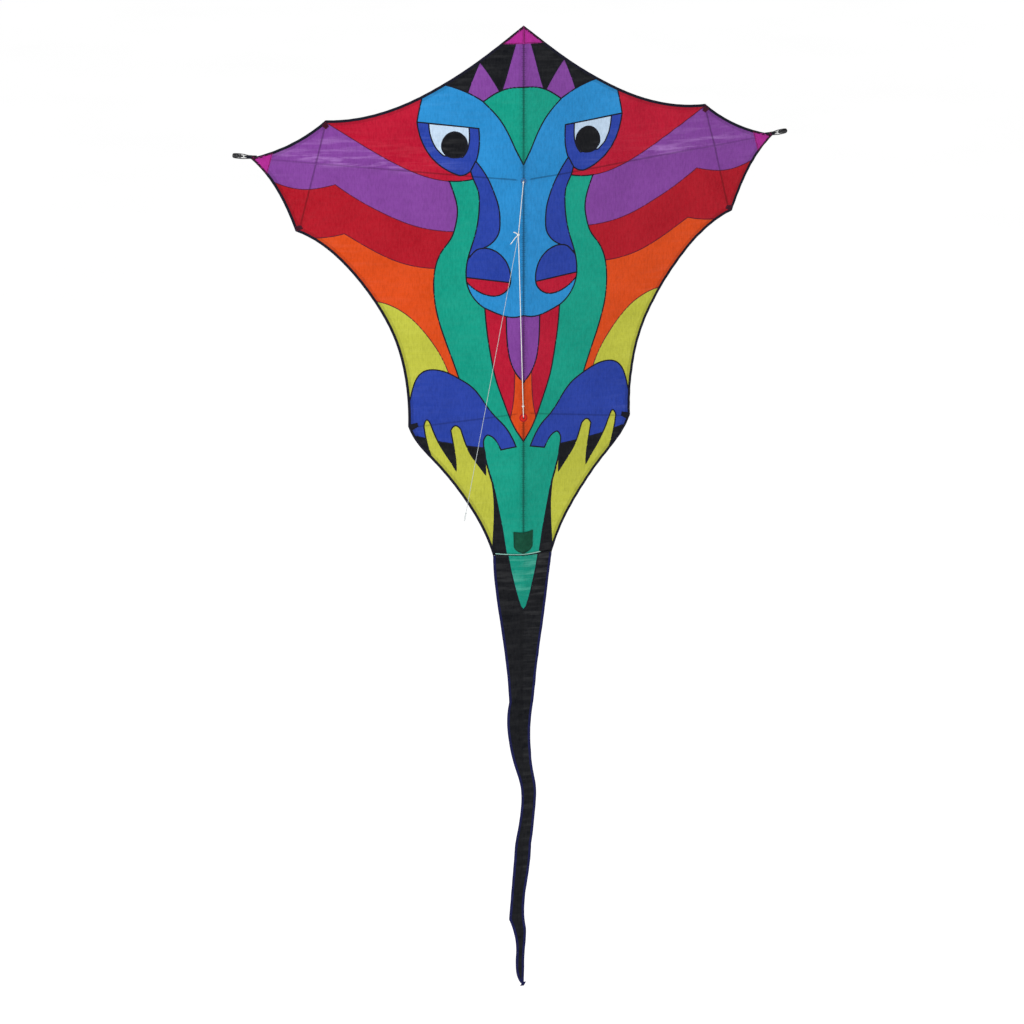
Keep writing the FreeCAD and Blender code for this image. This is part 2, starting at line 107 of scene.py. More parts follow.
def add_camera():
    data = bpy.data.cameras.new("camera")
    data.lens = LENS_MM
    data.sensor_width = SENSOR_MM
    data.clip_end = 100
    cam = bpy.data.objects.new("camera", data)
    bpy.context.scene.collection.objects.link(cam)
    level = math.cos(CAMERA_ELEVATION)
    away = Vector((math.sin(CAMERA_AZIMUTH) * level, -math.cos(CAMERA_AZIMUTH) * level,
                   math.sin(CAMERA_ELEVATION)))
    cam.location = CAMERA_TARGET + away * CAMERA_DISTANCE
    aim(cam, CAMERA_TARGET)
    bpy.context.scene.camera = cam


add_camera()


# ---- node materials -----------------------------------------------------------------------
def linear(rgb):
    """Linear colour of an 8-bit display colour."""
    out = []
    for value in rgb:
        c = value / 255
        out.append(c / 12.92 if c <= 0.04045 else ((c + 0.055) / 1.055) ** 2.4)
    return (*out, 1.0)


def toned(colour, factor, added=0.0):
    """A darker or paler version of a linear colour."""
    return tuple(min(1.0, c * factor + added) for c in colour[:3]) + (1.0,)


class Graph:
    """A material's node tree, with short calls for what is used below."""

    def __init__(self, name):
        self.material = bpy.data.materials.new(name)
        self.material.use_nodes = True
        self.tree = self.material.node_tree
        self.tree.nodes.clear()
        self.out = self.tree.nodes.new("ShaderNodeOutputMaterial")

    def node(self, kind, **settings):
        made = self.tree.nodes.new("ShaderNode" + kind)
        for key, value in settings.items():
            if key.startswith("in_"):
                self.put(made.inputs[key[3:].replace("_", " ")], value)
            else:
                setattr(made, key, value)
        return made

    def put(self, socket, value):
        if isinstance(value, bpy.types.NodeSocket):
            self.tree.links.new(value, socket)
        else:
            socket.default_value = value

    def math(self, operation, *values):
        made = self.tree.nodes.new("ShaderNodeMath")
        made.operation = operation
        for socket, value in zip(made.inputs, values):
            self.put(socket, value)
        return made.outputs[0]

    def mix(self, factor, a, b, blend="MIX"):
        made = self.tree.nodes.new("ShaderNodeMix")
        made.data_type = "RGBA"
        made.blend_type = blend
        self.put(made.inputs[0], factor)
        self.put(made.inputs[6], a)
        self.put(made.inputs[7], b)
        return made.outputs[2]

    def noise(self, vector, scale, detail=2.0, roughness=0.5):
        made = self.node("TexNoise", in_Vector=vector, in_Scale=scale, in_Detail=detail,
                         in_Roughness=roughness)
        return made.outputs["Fac"]

    def ramp(self, value, low, high, to_low=0.0, to_high=1.0):
        made = self.node("MapRange", in_Value=value)
        made.inputs["From Min"].default_value = low
        made.inputs["From Max"].default_value = high
        made.inputs["To Min"].default_value = to_low
        made.inputs["To Max"].default_value = to_high
        return made.outputs["Result"]

    def bump(self, height, distance, strength=1.0, normal=None):
        made = self.node("Bump", in_Height=height, in_Distance=distance, in_Strength=strength)
        if normal is not None:
            self.put(made.inputs["Normal"], normal)
        return made.outputs["Normal"]

    def uv(self):
        """The flat place in the cut cloth or along the tape, and its two parts."""
        place = self.node("UVMap", uv_map="cut").outputs["UV"]
        parts = self.node("SeparateXYZ", in_Vector=place).outputs
        return place, parts["X"], parts["Y"]

    def surface(self, colour, normal, roughness, **extra):
        """A Principled shader's output, with a few more of its sockets set."""
        shader = self.node("BsdfPrincipled", in_Base_Color=colour, in_Normal=normal,
                           in_Roughness=roughness)
        for socket, value in extra.items():
            shader.inputs[socket.replace("_", " ")].default_value = value
        return shader.outputs[0]

    def finish(self, shader):
        self.tree.links.new(shader, self.out.inputs["Surface"])
        return self.material


def ripstop(name, rgb, glow=0.16, roughness=0.36, shine=0.14):
    """Thin coated nylon: plain weave, a grid of heavier threads and a little see-through."""
    g = Graph(name)
    uv, across, along = g.uv()
    pitch = 0.0052
    lines = []
    for axis in (across, along):
        saw = g.math("PINGPONG", axis, pitch / 2)
        lines.append(g.ramp(saw, 0.0, 0.0006, 1.0, 0.0))
    grid = g.math("MAXIMUM", *lines)
    threads = g.node("TexWave", in_Vector=uv, in_Scale=420.0, bands_direction="X").outputs["Fac"]
    threads_up = g.node("TexWave", in_Vector=uv, in_Scale=420.0,
                        bands_direction="Y").outputs["Fac"]
    weave = g.math("ADD", threads, threads_up)
    broad = g.noise(uv, 9.0, 3.0)
    tall = g.node("Mapping", in_Vector=uv, in_Scale=(1.0, 0.22, 1.0)).outputs["Vector"]
    mottle = g.noise(tall, 230.0, 3.0, 0.7)
    crumple = g.noise(uv, 38.0, 4.0, 0.55)
    base = linear(rgb)
    deep = toned(base, 0.72)
    pale = toned(base, 1.16, 0.012)
    # broad patches of darker and paler tone: random tone, and also painted shade and light of soft wrinkles
    colour = g.mix(g.ramp(broad, 0.3, 0.7), deep, pale)
    colour = g.mix(0.62, colour, base)
    colour = g.mix(g.ramp(mottle, 0.45, 0.75, 0.0, 0.5), colour, pale)
    colour = g.mix(g.ramp(mottle, 0.5, 0.25, 0.0, 0.6), colour, deep)
    colour = g.mix(g.math("MULTIPLY", grid, 0.16), colour, deep)
    # painted highlight: paler streaks where the glint attribute marks folds that catch the light
    glint = g.node("Attribute", attribute_name="glint").outputs["Fac"]
    painted_glint_colour = toned(base, 1.5, 0.16)
    pulled = g.node("Mapping", in_Vector=uv, in_Scale=(9.0, 80.0, 1.0)).outputs["Vector"]
    pull = g.noise(pulled, 1.0, 4.0, 0.6)
    colour = g.mix(g.math("MULTIPLY", glint, g.ramp(pull, 0.47, 0.66, 0.0, 0.9)), colour,
                   painted_glint_colour)
    # painted shade: darker where the behind attribute marks a rod, the spine and the doubled hem behind the
    # cloth, and along the tail's middle
    behind = g.node("Attribute", attribute_name="behind").outputs["Fac"]
    shade = toned(base, 0.22)
    colour = g.mix(g.math("MULTIPLY", behind, 0.85), colour, shade)
    height = g.math("MULTIPLY", weave, 0.18)
    height = g.math("ADD", height, g.math("MULTIPLY", grid, 0.7))
    normal = g.bump(height, 0.00006, 0.5)
    normal = g.bump(crumple, 0.005, 0.8, normal)
    pull_height = g.math("MULTIPLY", pull, g.math("ADD", glint, 0.12))
    normal = g.bump(pull_height, 0.004, 0.8, normal)
    surface = g.surface(colour, normal, roughness, Specular_IOR_Level=shine)
    through = g.node("BsdfTranslucent", in_Color=colour, in_Normal=normal)
    both = g.node("MixShader", in_Fac=glow)
    g.tree.links.new(surface, both.inputs[1])
    g.tree.links.new(through.outputs[0], both.inputs[2])
    return g.finish(both.outputs[0])


def stitched(name, rgb, pitch=0.0016, roughness=0.6):
    """Close rows of thread: zigzag ridges across a narrow band. V runs along the band."""
    g = Graph(name)
    uv, across, along = g.uv()
    slant = g.math("ADD", along, g.math("MULTIPLY", across, 0.5))
    ridge = g.ramp(g.math("PINGPONG", slant, pitch / 2), 0.0, pitch / 2)
    base = linear(rgb)
    dark = toned(base, 0.35)
    fuzz = g.noise(uv, 900.0, 2.0)
    # the rows of thread, with painted shade in the grooves between them
    colour = g.mix(g.ramp(ridge, 0.0, 0.5), dark, base)
    colour = g.mix(g.ramp(fuzz, 0.3, 0.8, 0.0, 0.35), colour, dark)
    normal = g.bump(ridge, 0.0003, 0.8)
    return g.finish(g.surface(colour, normal, roughness, Specular_IOR_Level=0.2))


def webbing(name, rgb, pitch=0.0011, depth=0.0004, roughness=0.7):
    """Woven tape: ribs across it with a crossing thread."""
    g = Graph(name)
    uv, across, along = g.uv()
    rib = g.ramp(g.math("PINGPONG", along, pitch / 2), 0.0, pitch / 2)
    cross = g.ramp(g.math("PINGPONG", across, pitch), 0.0, pitch)
    weave = g.math("MULTIPLY", rib, g.ramp(cross, 0.0, 0.5, 0.5, 1.0))
    base = linear(rgb)
    dark = toned(base, 0.4)
    pale = toned(base, 1.5, 0.01)
    broad = g.noise(uv, 60.0, 3.0)
    # the rib pattern, with painted shade in the grooves between the ribs
    colour = g.mix(weave, dark, base)
    colour = g.mix(g.ramp(broad, 0.45, 0.75, 0.0, 0.4), colour, pale)
    normal = g.bump(weave, depth, 0.7)
    return g.finish(g.surface(colour, normal, roughness, Specular_IOR_Level=0.2))


def braid(name, rgb, pitch=0.0022, roughness=0.65):
    """Braided line: two sets of slanting plaits, from the object's own coordinates."""
    g = Graph(name)
    at = g.node("TexCoord").outputs["Object"]
    parts = g.node("SeparateXYZ", in_Vector=at)
    around = g.math("ADD", parts.outputs["X"], parts.outputs["Y"])
    one = g.math("PINGPONG", g.math("ADD", parts.outputs["Z"], around), pitch / 2)
    two = g.math("PINGPONG", g.math("SUBTRACT", parts.outputs["Z"], around), pitch / 2)
    plait = g.ramp(g.math("MULTIPLY", one, two), 0.0, pitch * pitch / 4)
    base = linear(rgb)
    dark = toned(base, 0.62)
    # the plait pattern, with painted shade in the grooves between the plaits
    colour = g.mix(g.ramp(plait, 0.0, 0.35), dark, base)
    colour = g.mix(g.ramp(g.noise(at, 300.0), 0.4, 0.8, 0.0, 0.3), colour, dark)
    normal = g.bump(plait, 0.0003, 0.7)
    return g.finish(g.surface(colour, normal, roughness, Sheen_Weight=0.2))


def hard(name, rgb, roughness=0.4, metallic=0.0, grain=700.0, streak=(1, 1, 1), depth=0.00004,
         coat=0.0):
    """Moulded or wound hard material, with fine grain and a few scuffs."""
    g = Graph(name)
    at = g.node("TexCoord").outputs["Object"]
    stretched = g.node("Mapping", in_Vector=at, in_Scale=streak).outputs["Vector"]
    fine = g.noise(stretched, grain, 3.0, 0.6)
    scuff = g.noise(stretched, grain * 0.09, 5.0, 0.7)
    base = linear(rgb)
    pale = toned(base, 1.8, 0.02)
    colour = g.mix(g.ramp(scuff, 0.5, 0.8, 0.0, 0.6), base, pale)
    rough = g.ramp(fine, 0.3, 0.7, roughness - 0.08, roughness + 0.1)
    normal = g.bump(fine, depth, 0.6)
    return g.finish(g.surface(colour, normal, rough, Metallic=metallic, Coat_Weight=coat))


# display colour of each cloth, and where they differ its glow, roughness and shine
CLOTH_LOOKS = {
    "ripstop_black": ((3, 5, 12), 0.05, 0.3, 0.12),
    "ripstop_purple": ((125, 62, 150),),
    "ripstop_red": ((180, 6, 44),),
    "ripstop_deep_red": ((170, 6, 30),),
    "ripstop_orange": ((212, 70, 10),),
    "ripstop_yellow": ((185, 188, 62),),
    "ripstop_green": ((0, 151, 128),),
    "ripstop_light_blue": ((34, 135, 199),),
    "ripstop_dark_blue": ((33, 60, 158),),
    "ripstop_white": ((190, 211, 233),),
    "patch_maroon": ((62, 4, 28),),
    # painted highlight: pale cloth for the strip where the fold at the tail's top catches the light
    "painted_fold_highlight": ((165, 215, 202),),
    "ripstop_eye_patch": ((222, 30, 16),),
    "ripstop_magenta": ((178, 38, 148),),
}
CLOTH = {name: ripstop(name, *look) for name, look in CLOTH_LOOKS.items()}
DARK_THREAD = stitched("dark_thread", (10, 10, 30))
RED_THREAD = stitched("red_thread", (96, 12, 44))
TAPE = webbing("binding_tape", (9, 9, 38))
POCKET = webbing("pocket_webbing", (12, 12, 34), 0.0014, 0.0005)
BLACK_CORD = braid("black_shock_cord", (20, 20, 26), 0.003)
LINE = braid("bridle_line", (250, 250, 244))
LEADER = braid("leader_line", (205, 214, 214), 0.0015)
BUNGEE = braid("shock_cord", (226, 228, 226), 0.003)
TAIL_TAPE = webbing("tail_edge_tape", (16, 20, 84))
PATCH_THREAD = stitched("patch_thread", (10, 60, 44))
FUZZ = webbing("hook_and_loop", (14, 86, 62), 0.0016, 0.0008, 0.85)
CARBON = hard("carbon_rod", (24, 24, 27), 0.3, 0.0, 500.0, (1, 1, 0.12), 0.00003, 0.4)
GLASS_ROD = hard("fibreglass_rod", (196, 190, 170), 0.45, 0.0, 600.0, (1, 1, 0.1))
VINYL = hard("vinyl", (22, 22, 26), 0.5, 0.0, 900.0)
MOULDED = hard("moulded_hub", (30, 30, 34), 0.42, 0.0, 1400.0)
RUBBER = hard("rubber_ring", (24, 24, 25), 0.75, 0.0, 1200.0)
METAL = hard("ferrule_metal", (198, 200, 205), 0.3, 1.0, 900.0, (1, 1, 0.05))

# ---- unfolding a wing of the frame to its flat cut -----------------------------------------
# Flat places are pairs (u, z) in metres: u is the distance out from the spine.


def corners(node):
    """A CAD node's corners."""
    mesh = NODES[node].data
    co = np.empty(len(mesh.vertices) * 3)
    mesh.vertices.foreach_get("co", co)
    return co.reshape(-1, 3)


def triangles(node):
    """A CAD node's corners and its triangles."""
    mesh = NODES[node].data
    mesh.calc_loop_triangles()
    tri = np.empty(len(mesh.loop_triangles) * 3, int)
    mesh.loop_triangles.foreach_get("vertices", tri)
    return corners(node), tri.reshape(-1, 3)


def sides_of(t):
    """A triangle's three sides, each as its two corners in rising order."""
    return [(min(pair), max(pair)) for pair in ((t[0], t[1]), (t[1], t[2]), (t[2], t[0]))]


def flat_triangles(node):
    """A right-hand CAD node's corners with the dihedral taken out, and its triangles."""
    co, tri = triangles(node)
    c, s = math.cos(-DIHEDRAL), math.sin(-DIHEDRAL)
    x, y = co[:, 0] - HINGE.x, co[:, 1] - HINGE.y
    flat = np.column_stack([HINGE.x + x * c - y * s, HINGE.y + x * s + y * c, co[:, 2]])
    return flat, tri


def enclosed(loop):
    """Twice the signed area in a closed loop: above 0 where it runs to the left."""
    after = np.roll(loop, -1, axis=0)
    return np.sum(loop[:, 0] * after[:, 1] - after[:, 0] * loop[:, 1])


def tree_of(points):
    """Search tree of flat points."""
    tree = KDTree(len(points))
    for k, p in enumerate(points):
        tree.insert((p[0], p[1], 0), k)
    tree.balance()
    return tree


def grid_faces(rows, wide, around=True, closed=False):
    """Quads between rows of points, each row a ring or not, and the rows a ring or not."""
    faces = []
    for k in range(rows if closed else rows - 1):
        above = (k + 1) % rows * wide
        for j in range(wide if around else wide - 1):
            after = (j + 1) % wide
            faces.append((k * wide + j, k * wide + after, above + after, above + j))
    return faces


def first_cap(wide):
    return tuple(range(wide - 1, -1, -1))


def last_cap(rows, wide):
    return tuple((rows - 1) * wide + j for j in range(wide))


def front_loops(co, tri):
    """Border loops, as (u, z) points, of the faces on the foremost plane."""
    front = co[:, 1].min() + 2e-5
    keys = {}
    weld = np.array([keys.setdefault((round(p[0], 6), round(p[2], 6)), len(keys))
                     for p in co])
    where = np.zeros((len(keys), 2))
    where[weld] = co[:, [0, 2]]
    used = {}
    for t in tri:
        if co[t, 1].max() < front:
            a, b, c = weld[t]
            for edge in ((a, b), (b, c), (c, a)):
                used[edge] = True
    after = {}
    for a, b in used:
        if (b, a) not in used and a != b:
            after.setdefault(a, []).append(b)
    loops = []
    while after:
        start = next(iter(after))
        loop = [start]
        here = start
        while here in after:
            step = after[here].pop()
            if not after[here]:
                del after[here]
            if step == start:
                break
            loop.append(step)
            here = step
        if len(loop) > 2:
            loops.append(where[loop])
    return loops


def to_centreline(loop):
    """Carries the border from the centre strip's edge on to the spine's own line."""
    edge = CENTRE_HALF + 0.5 * MM
    out = loop.copy()
    count = len(loop)
    for k in range(count):
        if loop[k, 0] < edge:
            out[k, 0] = 0.0
            for other in (loop[k - 1], loop[(k + 1) % count]):
                if other[0] >= edge:
                    slope = (loop[k, 1] - other[1]) / (loop[k, 0] - other[0])
                    slope = max(-1.6, min(1.6, slope))
                    out[k, 1] = loop[k, 1] - slope * loop[k, 0]
    return out


def divided(loop, step):
    """The closed loop with no edge longer than step."""
    out = []
    for a, b in zip(loop, np.roll(loop, -1, axis=0)):
        pieces = max(1, int(math.ceil(np.linalg.norm(b - a) / step)))
        for k in range(pieces):
            out.append(a + (b - a) * k / pieces)
    return np.array(out)


PANEL_SLOT = {
    "black_panels": "ripstop_black", "wing_purple": "ripstop_purple",
    "wing_red": "ripstop_deep_red", "wing_orange": "ripstop_orange",
    "wing_yellow": "ripstop_yellow", "green_panels": "ripstop_green",
    "red_face_panels": "ripstop_red", "purple_trim_panels": "ripstop_purple",
    "head_panel": "ripstop_light_blue", "face_trim_panels": "ripstop_dark_blue",
    "eye_white": "ripstop_white", "thigh_panel": "ripstop_dark_blue",
}
TAPE_NODE = "edge_binding"
STEP = 5 * MM


def rod_line(node):
    """Flat ends of a right-hand rod's centre line."""
    co, _ = flat_triangles(node)
    axis = np.argmax(np.ptp(co[:, [0, 2]], axis=0))
    along = co[:, 0] if axis == 0 else co[:, 2]
    low = co[along < along.min() + 2 * MM][:, [0, 2]].mean(0)
    high = co[along > along.max() - 2 * MM][:, [0, 2]].mean(0)
    return low, high


RODS = {name: rod_line("right_" + name) for name in
        ("upper_spreader", "lower_spreader", "batten")}


def across_line(line):
    """Unit normals of an open flat line, to the right of its direction, mitred at corners."""
    steps = np.diff(line, axis=0)
    steps /= np.maximum(np.linalg.norm(steps, axis=1, keepdims=True), 1e-9)
    before = np.vstack([steps[:1], steps])
    after = np.vstack([steps, steps[-1:]])
    middle = before + after
    middle /= np.maximum(np.linalg.norm(middle, axis=1, keepdims=True), 1e-9)
    stretch = 1 / np.clip(np.sum(middle * after, axis=1), 0.6, 1)
    return np.column_stack([middle[:, 1], -middle[:, 0]]) * stretch[:, None]


def arc_of(line):
    """How far along an open line each of its points is."""
    return np.concatenate([[0], np.cumsum(np.linalg.norm(np.diff(line, axis=0), axis=1))])


def beside(line, distance):
    return line + across_line(line) * distance


def outer_edge(points, faces, names):
    """The half sail's outer edge from the nose down to the tail, as flat points."""
    tape = [k for k, name in enumerate(names) if name == TAPE_NODE]
    ring = max((faces[k] for k in tape), key=len)
    loop = points[ring]
    nose = np.argmax(loop[:, 1] - loop[:, 0])
    foot = np.argmin(loop[:, 1] * 10 - loop[:, 0])
    one = np.roll(loop, -nose, axis=0)[:(foot - nose) % len(loop) + 1]
    other = np.roll(loop[::-1], -(len(loop) - 1 - nose), axis=0)[
        :(nose - foot) % len(loop) + 1]
    return one if one[:, 0].max() > other[:, 0].max() else other


BAND = 13 * MM  # depth of the doubled cloth under the edge tape


def lay_out_half():
    """One flat triangulation of half the sail, with each triangle's panel name."""
    names, loops = [], []
    for panel in [*PANEL_SLOT, TAPE_NODE]:
        co, tri = flat_triangles("right_" + panel)
        for loop in front_loops(co, tri):
            loops.append(divided(to_centreline(loop), STEP))
            names.append(panel)
    points, faces = [], []
    for loop in loops:
        ring = list(range(len(points), len(points) + len(loop)))
        faces.append(ring if enclosed(loop) > 0 else ring[::-1])
        points.extend(loop)
    hem = outer_edge(np.array(points), faces, names)
    for inset in (BAND, BAND + 1.2 * MM):
        points.extend(p for p in beside(hem, inset) if p[0] > 2 * MM)
    # lines along the rods, so that the ridge over each is crisp
    for low, high in RODS.values():
        along = (high - low) / np.linalg.norm(high - low)
        across = np.array([-along[1], along[0]])
        count = int(np.linalg.norm(high - low) / STEP)
        for side in (-2.6 * MM, -1.5 * MM, 0, 1.5 * MM, 2.6 * MM):
            for k in range(count + 1):
                p = low + (high - low) * k / count + across * side
                if p[0] > 2 * MM:
                    points.append(p)
    for z in np.arange(FOLD_Z + STEP, NOSE_Z - 0.02, STEP):
        points.append(np.array([2.1 * MM, z]))
        points.append(np.array([3.2 * MM, z + STEP / 2]))
    keep_out = tree_of(points)
    top = max(p[1] for p in points)
    row = 0
    z = FOLD_Z + STEP / 2
    while z < top:
        for u in np.arange(STEP * (0.5 + 0.5 * (row % 2)), 0.68, STEP):
            if keep_out.find((u, z, 0))[2] > 0.55 * STEP:
                points.append(np.array([u, z]))
        row += 1
        z += STEP * 0.866
    scaled = [Vector((p[0] * 1000, p[1] * 1000)) for p in points]
    verts, _, tris, _, _, origin = delaunay_2d_cdt(scaled, [], faces, 0, 0.02)
    verts = np.array([[v.x, v.y] for v in verts]) * MM
    tris = np.array([t[:] for t in tris])
    label = []
    for source in origin:
        held = {}
        for face in source:
            held[names[face]] = held.get(names[face], 0) + 1
        odd = [name for name, count in held.items() if count % 2]
        label.append(odd[0] if odd else "")
    fill_slivers(verts, tris, label)
    return verts, tris, label


def fill_slivers(verts, tris, label):
    """Hair-thin triangles between two panels' borders take a neighbour's name."""
    sides = {}
    for k, t in enumerate(tris):
        for key in sides_of(t):
            sides.setdefault(key, []).append(k)
    for _ in range(3):
        for k, t in enumerate(tris):
            if label[k]:
                continue
            p = verts[t]
            lengths = np.linalg.norm(p - np.roll(p, -1, axis=0), axis=1)
            area = abs(np.cross(p[1] - p[0], p[2] - p[0]))
            if area / max(lengths.max(), 1e-9) > 0.5 * MM:
                continue
            for key in sides_of(t):
                for other in sides[key]:
                    if label[other]:
                        label[k] = label[other]


VERTS, TRIS, LABEL = lay_out_half()


# ---- the taut, slightly creased surface that the cloth lies in -------------------------------
def smooth(t):
    t = np.clip(t, 0, 1)
    return t * t * (3 - 2 * t)


def waves(u, z, seed, length):
    """Gentle irregular undulation with features about length apart, from -1 to 1."""
    generator = np.random.default_rng(seed)
    total = np.zeros_like(u)
    for _ in range(6):
        angle = generator.uniform(0, math.pi)
        scale = generator.uniform(0.7, 1.4) * 2 * math.pi / length
        phase = generator.uniform(0, 6.3)
        total = total + np.sin((u * math.cos(angle) + z * math.sin(angle)) * scale + phase)
    return total / 3.2


def off_line(u, z, low, high):
    """Distance across a line, how far along it from 0 to 1, and the overshoot past its ends."""
    d = high - low
    length = np.linalg.norm(d)
    along = ((u - low[0]) * d[0] + (z - low[1]) * d[1]) / length
    across = ((z - low[1]) * d[0] - (u - low[0]) * d[1]) / length
    over = np.maximum(0, np.maximum(-along, along - length))
    return across, along / length, over


def fan(u, z, corner, reach, folds, direction, spread, height):
    """Small folds that radiate from a corner where the cloth is pulled."""
    du, dz = u - corner[0], z - corner[1]
    far = np.hypot(du, dz)
    turn = (np.arctan2(dz, du) - direction + math.pi) % (2 * math.pi) - math.pi
    inside = np.exp(-(turn / spread) ** 2)
    return height * inside * np.sin(folds * turn) * np.exp(-far / reach) * smooth(far / 0.03)


def find_outline():
    """Outer edge of the laid-out half: edges with one triangle, away from spine and tail."""
    count = {}
    for t, name in zip(TRIS, LABEL):
        if name:
            for key in sides_of(t):
                count[key] = count.get(key, 0) + 1
    rim = [e for e, n in count.items() if n == 1]
    rim = [e for e in rim if max(VERTS[e[0], 0], VERTS[e[1], 0]) > 0.5 * MM
           and max(VERTS[e[0], 1], VERTS[e[1], 1]) > FOLD_Z + 1.5 * MM]
    lines = chains(rim)
    line = VERTS[max(lines, key=len)]
    return line if line[0, 1] > line[-1, 1] else line[::-1]


def chains(edges):
    """Joins edges, as pairs of point numbers, into runs that stop where lines meet."""
    near = {}
    for a, b in edges:
        near.setdefault(a, set()).add(b)
        near.setdefault(b, set()).add(a)
    runs = []
    ends = [k for k, others in near.items() if len(others) != 2] + list(near)
    for start in ends:
        while near.get(start):
            run = [start]
            here = start
            while near.get(here):
                step = near[here].pop()
                near[step].discard(here)
                run.append(step)
                here = step
                if here == run[0] or len(near.get(here, ())) != 1:
                    break
            runs.append(run)
    return runs


OUTLINE = find_outline()
ARC = arc_of(OUTLINE)


def edge_distance(u, z):
    """Distance in from the outer edge, and how far along the edge."""
    far = np.empty(len(u))
    arc = np.empty(len(u))
    for k in range(0, len(u), 2000):
        d = np.hypot(u[k:k + 2000, None] - OUTLINE[None, :, 0],
                     z[k:k + 2000, None] - OUTLINE[None, :, 1])
        nearest = d.argmin(1)
        far[k:k + 2000] = d[np.arange(len(nearest)), nearest]
        arc[k:k + 2000] = ARC[nearest]
    return far, arc


def above_spreader(across):
    """1 in the band of cloth just above the upper spreader."""
    return smooth(across / 0.012) * (1 - smooth((across - 0.05) / 0.07))


def streaks(u, z, side):
    """Fine pulled folds that run beside the upper spreader, from -1 to 1."""
    seed = 14 if side > 0 else 26
    across, share, over = off_line(u, z, *RODS["upper_spreader"])
    run = np.sin(across * 2 * math.pi / 0.021 + 2.5 * waves(u, z, seed, 0.3))
    run = run * (0.6 + 0.4 * waves(u, z, seed + 1, 0.2))
    band = above_spreader(across)
    ends = smooth((share - 0.12) / 0.25) * (1 - smooth((share - 0.75) / 0.25))
    return run * band * ends * np.exp(-over / 0.02)


def glints(u, z, side):
    """Amount of painted highlight on pulled folds: by the spreader and along the tape."""
    across, share, over = off_line(u, z, *RODS["upper_spreader"])
    along = smooth((share - 0.15) / 0.35) * (1 - smooth((share - 0.66) / 0.2))
    ridge = along * np.exp(-((across - 0.011) / 0.013) ** 2)
    band = above_spreader(across)
    band = band * smooth((share - 0.12) / 0.25) * (1 - smooth((share - 0.85) / 0.15))
    far, _ = edge_distance(u, z)
    # painted highlight along the tape, and a faint one everywhere
    edge = 0.12 * np.exp(-far / 0.03) + 0.02
    # the left wing's folds take more painted highlight, as the key light comes from the left
    lit = 1.0 if side < 0 else 0.6
    pulled = lit * (0.95 * ridge + 0.32 * band) * np.exp(-over / 0.02)
    return np.clip(np.maximum(pulled, edge), 0, 1)


# corner, reach, number of folds, direction, spread and height of each fan of pull folds:
# wing tip, upper corner, lower corner, hip and nose
FANS = (
    ((0.67, 0.066), 0.16, 16, math.pi, 0.5, 1.0 * MM),
    ((0.486, 0.156), 0.10, 14, -2.2, 0.8, 0.9 * MM),
    ((0.562, -0.12), 0.12, 14, 2.6, 0.7, 0.9 * MM),
    ((0.285, -0.62), 0.12, 12, 2.9, 1.0, 1.1 * MM),
    ((0.0, 0.385), 0.12, 15, -1.2, 0.6, 0.7 * MM),
)


def relief(u, z, side):
    """How far the cloth stands forward of its flat plane, in metres."""
    seed = 11 if side > 0 else 23
    free = smooth(u / 0.05)
    total = 1.9 * MM + free * 1.1 * MM * waves(u, z, seed, 0.34)
    total = total + free * 0.5 * MM * waves(u, z, seed + 1, 0.10)
    total = total + free * 0.2 * MM * waves(u, z, seed + 2, 0.035)
    across, share, over = off_line(u, z, *RODS["upper_spreader"])
    near = smooth(share / 0.12) * np.exp(-over / 0.02)
    total = total + near * 4.2 * MM * np.exp(-np.abs(across) / 0.05)
    total = total + 1.25 * MM * streaks(u, z, side)
    across, share, over = off_line(u, z, *RODS["batten"])
    total = total + 1.4 * MM * np.exp(-np.abs(across) / 0.03) * np.exp(-over / 0.012)
    across, share, over = off_line(u, z, *RODS["lower_spreader"])
    near = smooth(share / 0.2) * np.exp(-over / 0.02)
    total = total + near * 2.2 * MM * np.exp(-np.abs(across) / 0.045)
    total = total + 0.9 * MM * np.exp(-(u / 0.004) ** 2)
    for held in FANS:
        total = total + fan(u, z, *held)
    far, arc = edge_distance(u, z)
    pucker = np.sin(arc * 2 * math.pi / 0.031 + 2.5 * np.sin(arc * 9 + seed))
    total = total + free * 0.5 * MM * pucker * np.exp(-far / 0.016)
    return np.maximum(total, 0.2 * MM)


TURN_END = 2 * HINGE.x
TURN_U = np.linspace(0, TURN_END, 61)
TURN_ANGLE = DIHEDRAL * smooth(TURN_U / TURN_END)
TURN_X = np.concatenate([[0], np.cumsum(np.cos(TURN_ANGLE[1:]) * np.diff(TURN_U))])
TURN_Y = np.concatenate([[0], np.cumsum(np.sin(TURN_ANGLE[1:]) * np.diff(TURN_U))])


def sail_point(u, z, side, lift=0.0):
    """Place in the row frame of flat points, lift metres proud of the cloth's front."""
    u, z = np.asarray(u, float), np.asarray(z, float)
    inside = np.clip(u, 0, TURN_END)
    past = np.maximum(u - TURN_END, 0)
    angle = DIHEDRAL * smooth(inside / TURN_END)
    x = np.interp(inside, TURN_U, TURN_X) + past * math.cos(DIHEDRAL)
    y = np.interp(inside, TURN_U, TURN_Y) + past * math.sin(DIHEDRAL)
    out = relief(u, z, side) + lift
    x = x + out * np.sin(angle) * smooth(u / 0.02)
    y = SAIL_Y + y - out * np.cos(angle)
    return np.column_stack([side * x, y, z])


def centre_place(u, z, lift):
    """On the front of the sail round the spine, either side."""
    u, z = np.asarray(u, float), np.asarray(z, float)
    right = sail_point(np.abs(u), z, 1, lift)
    left = sail_point(np.abs(u), z, -1, lift)
    return np.where((u >= 0)[:, None], right, left)


def link(name, mesh, material):
    obj = bpy.data.objects.new(name, mesh)
    bpy.context.scene.collection.objects.link(obj)
    mesh.materials.append(material)
    mesh.shade_smooth()
    return obj


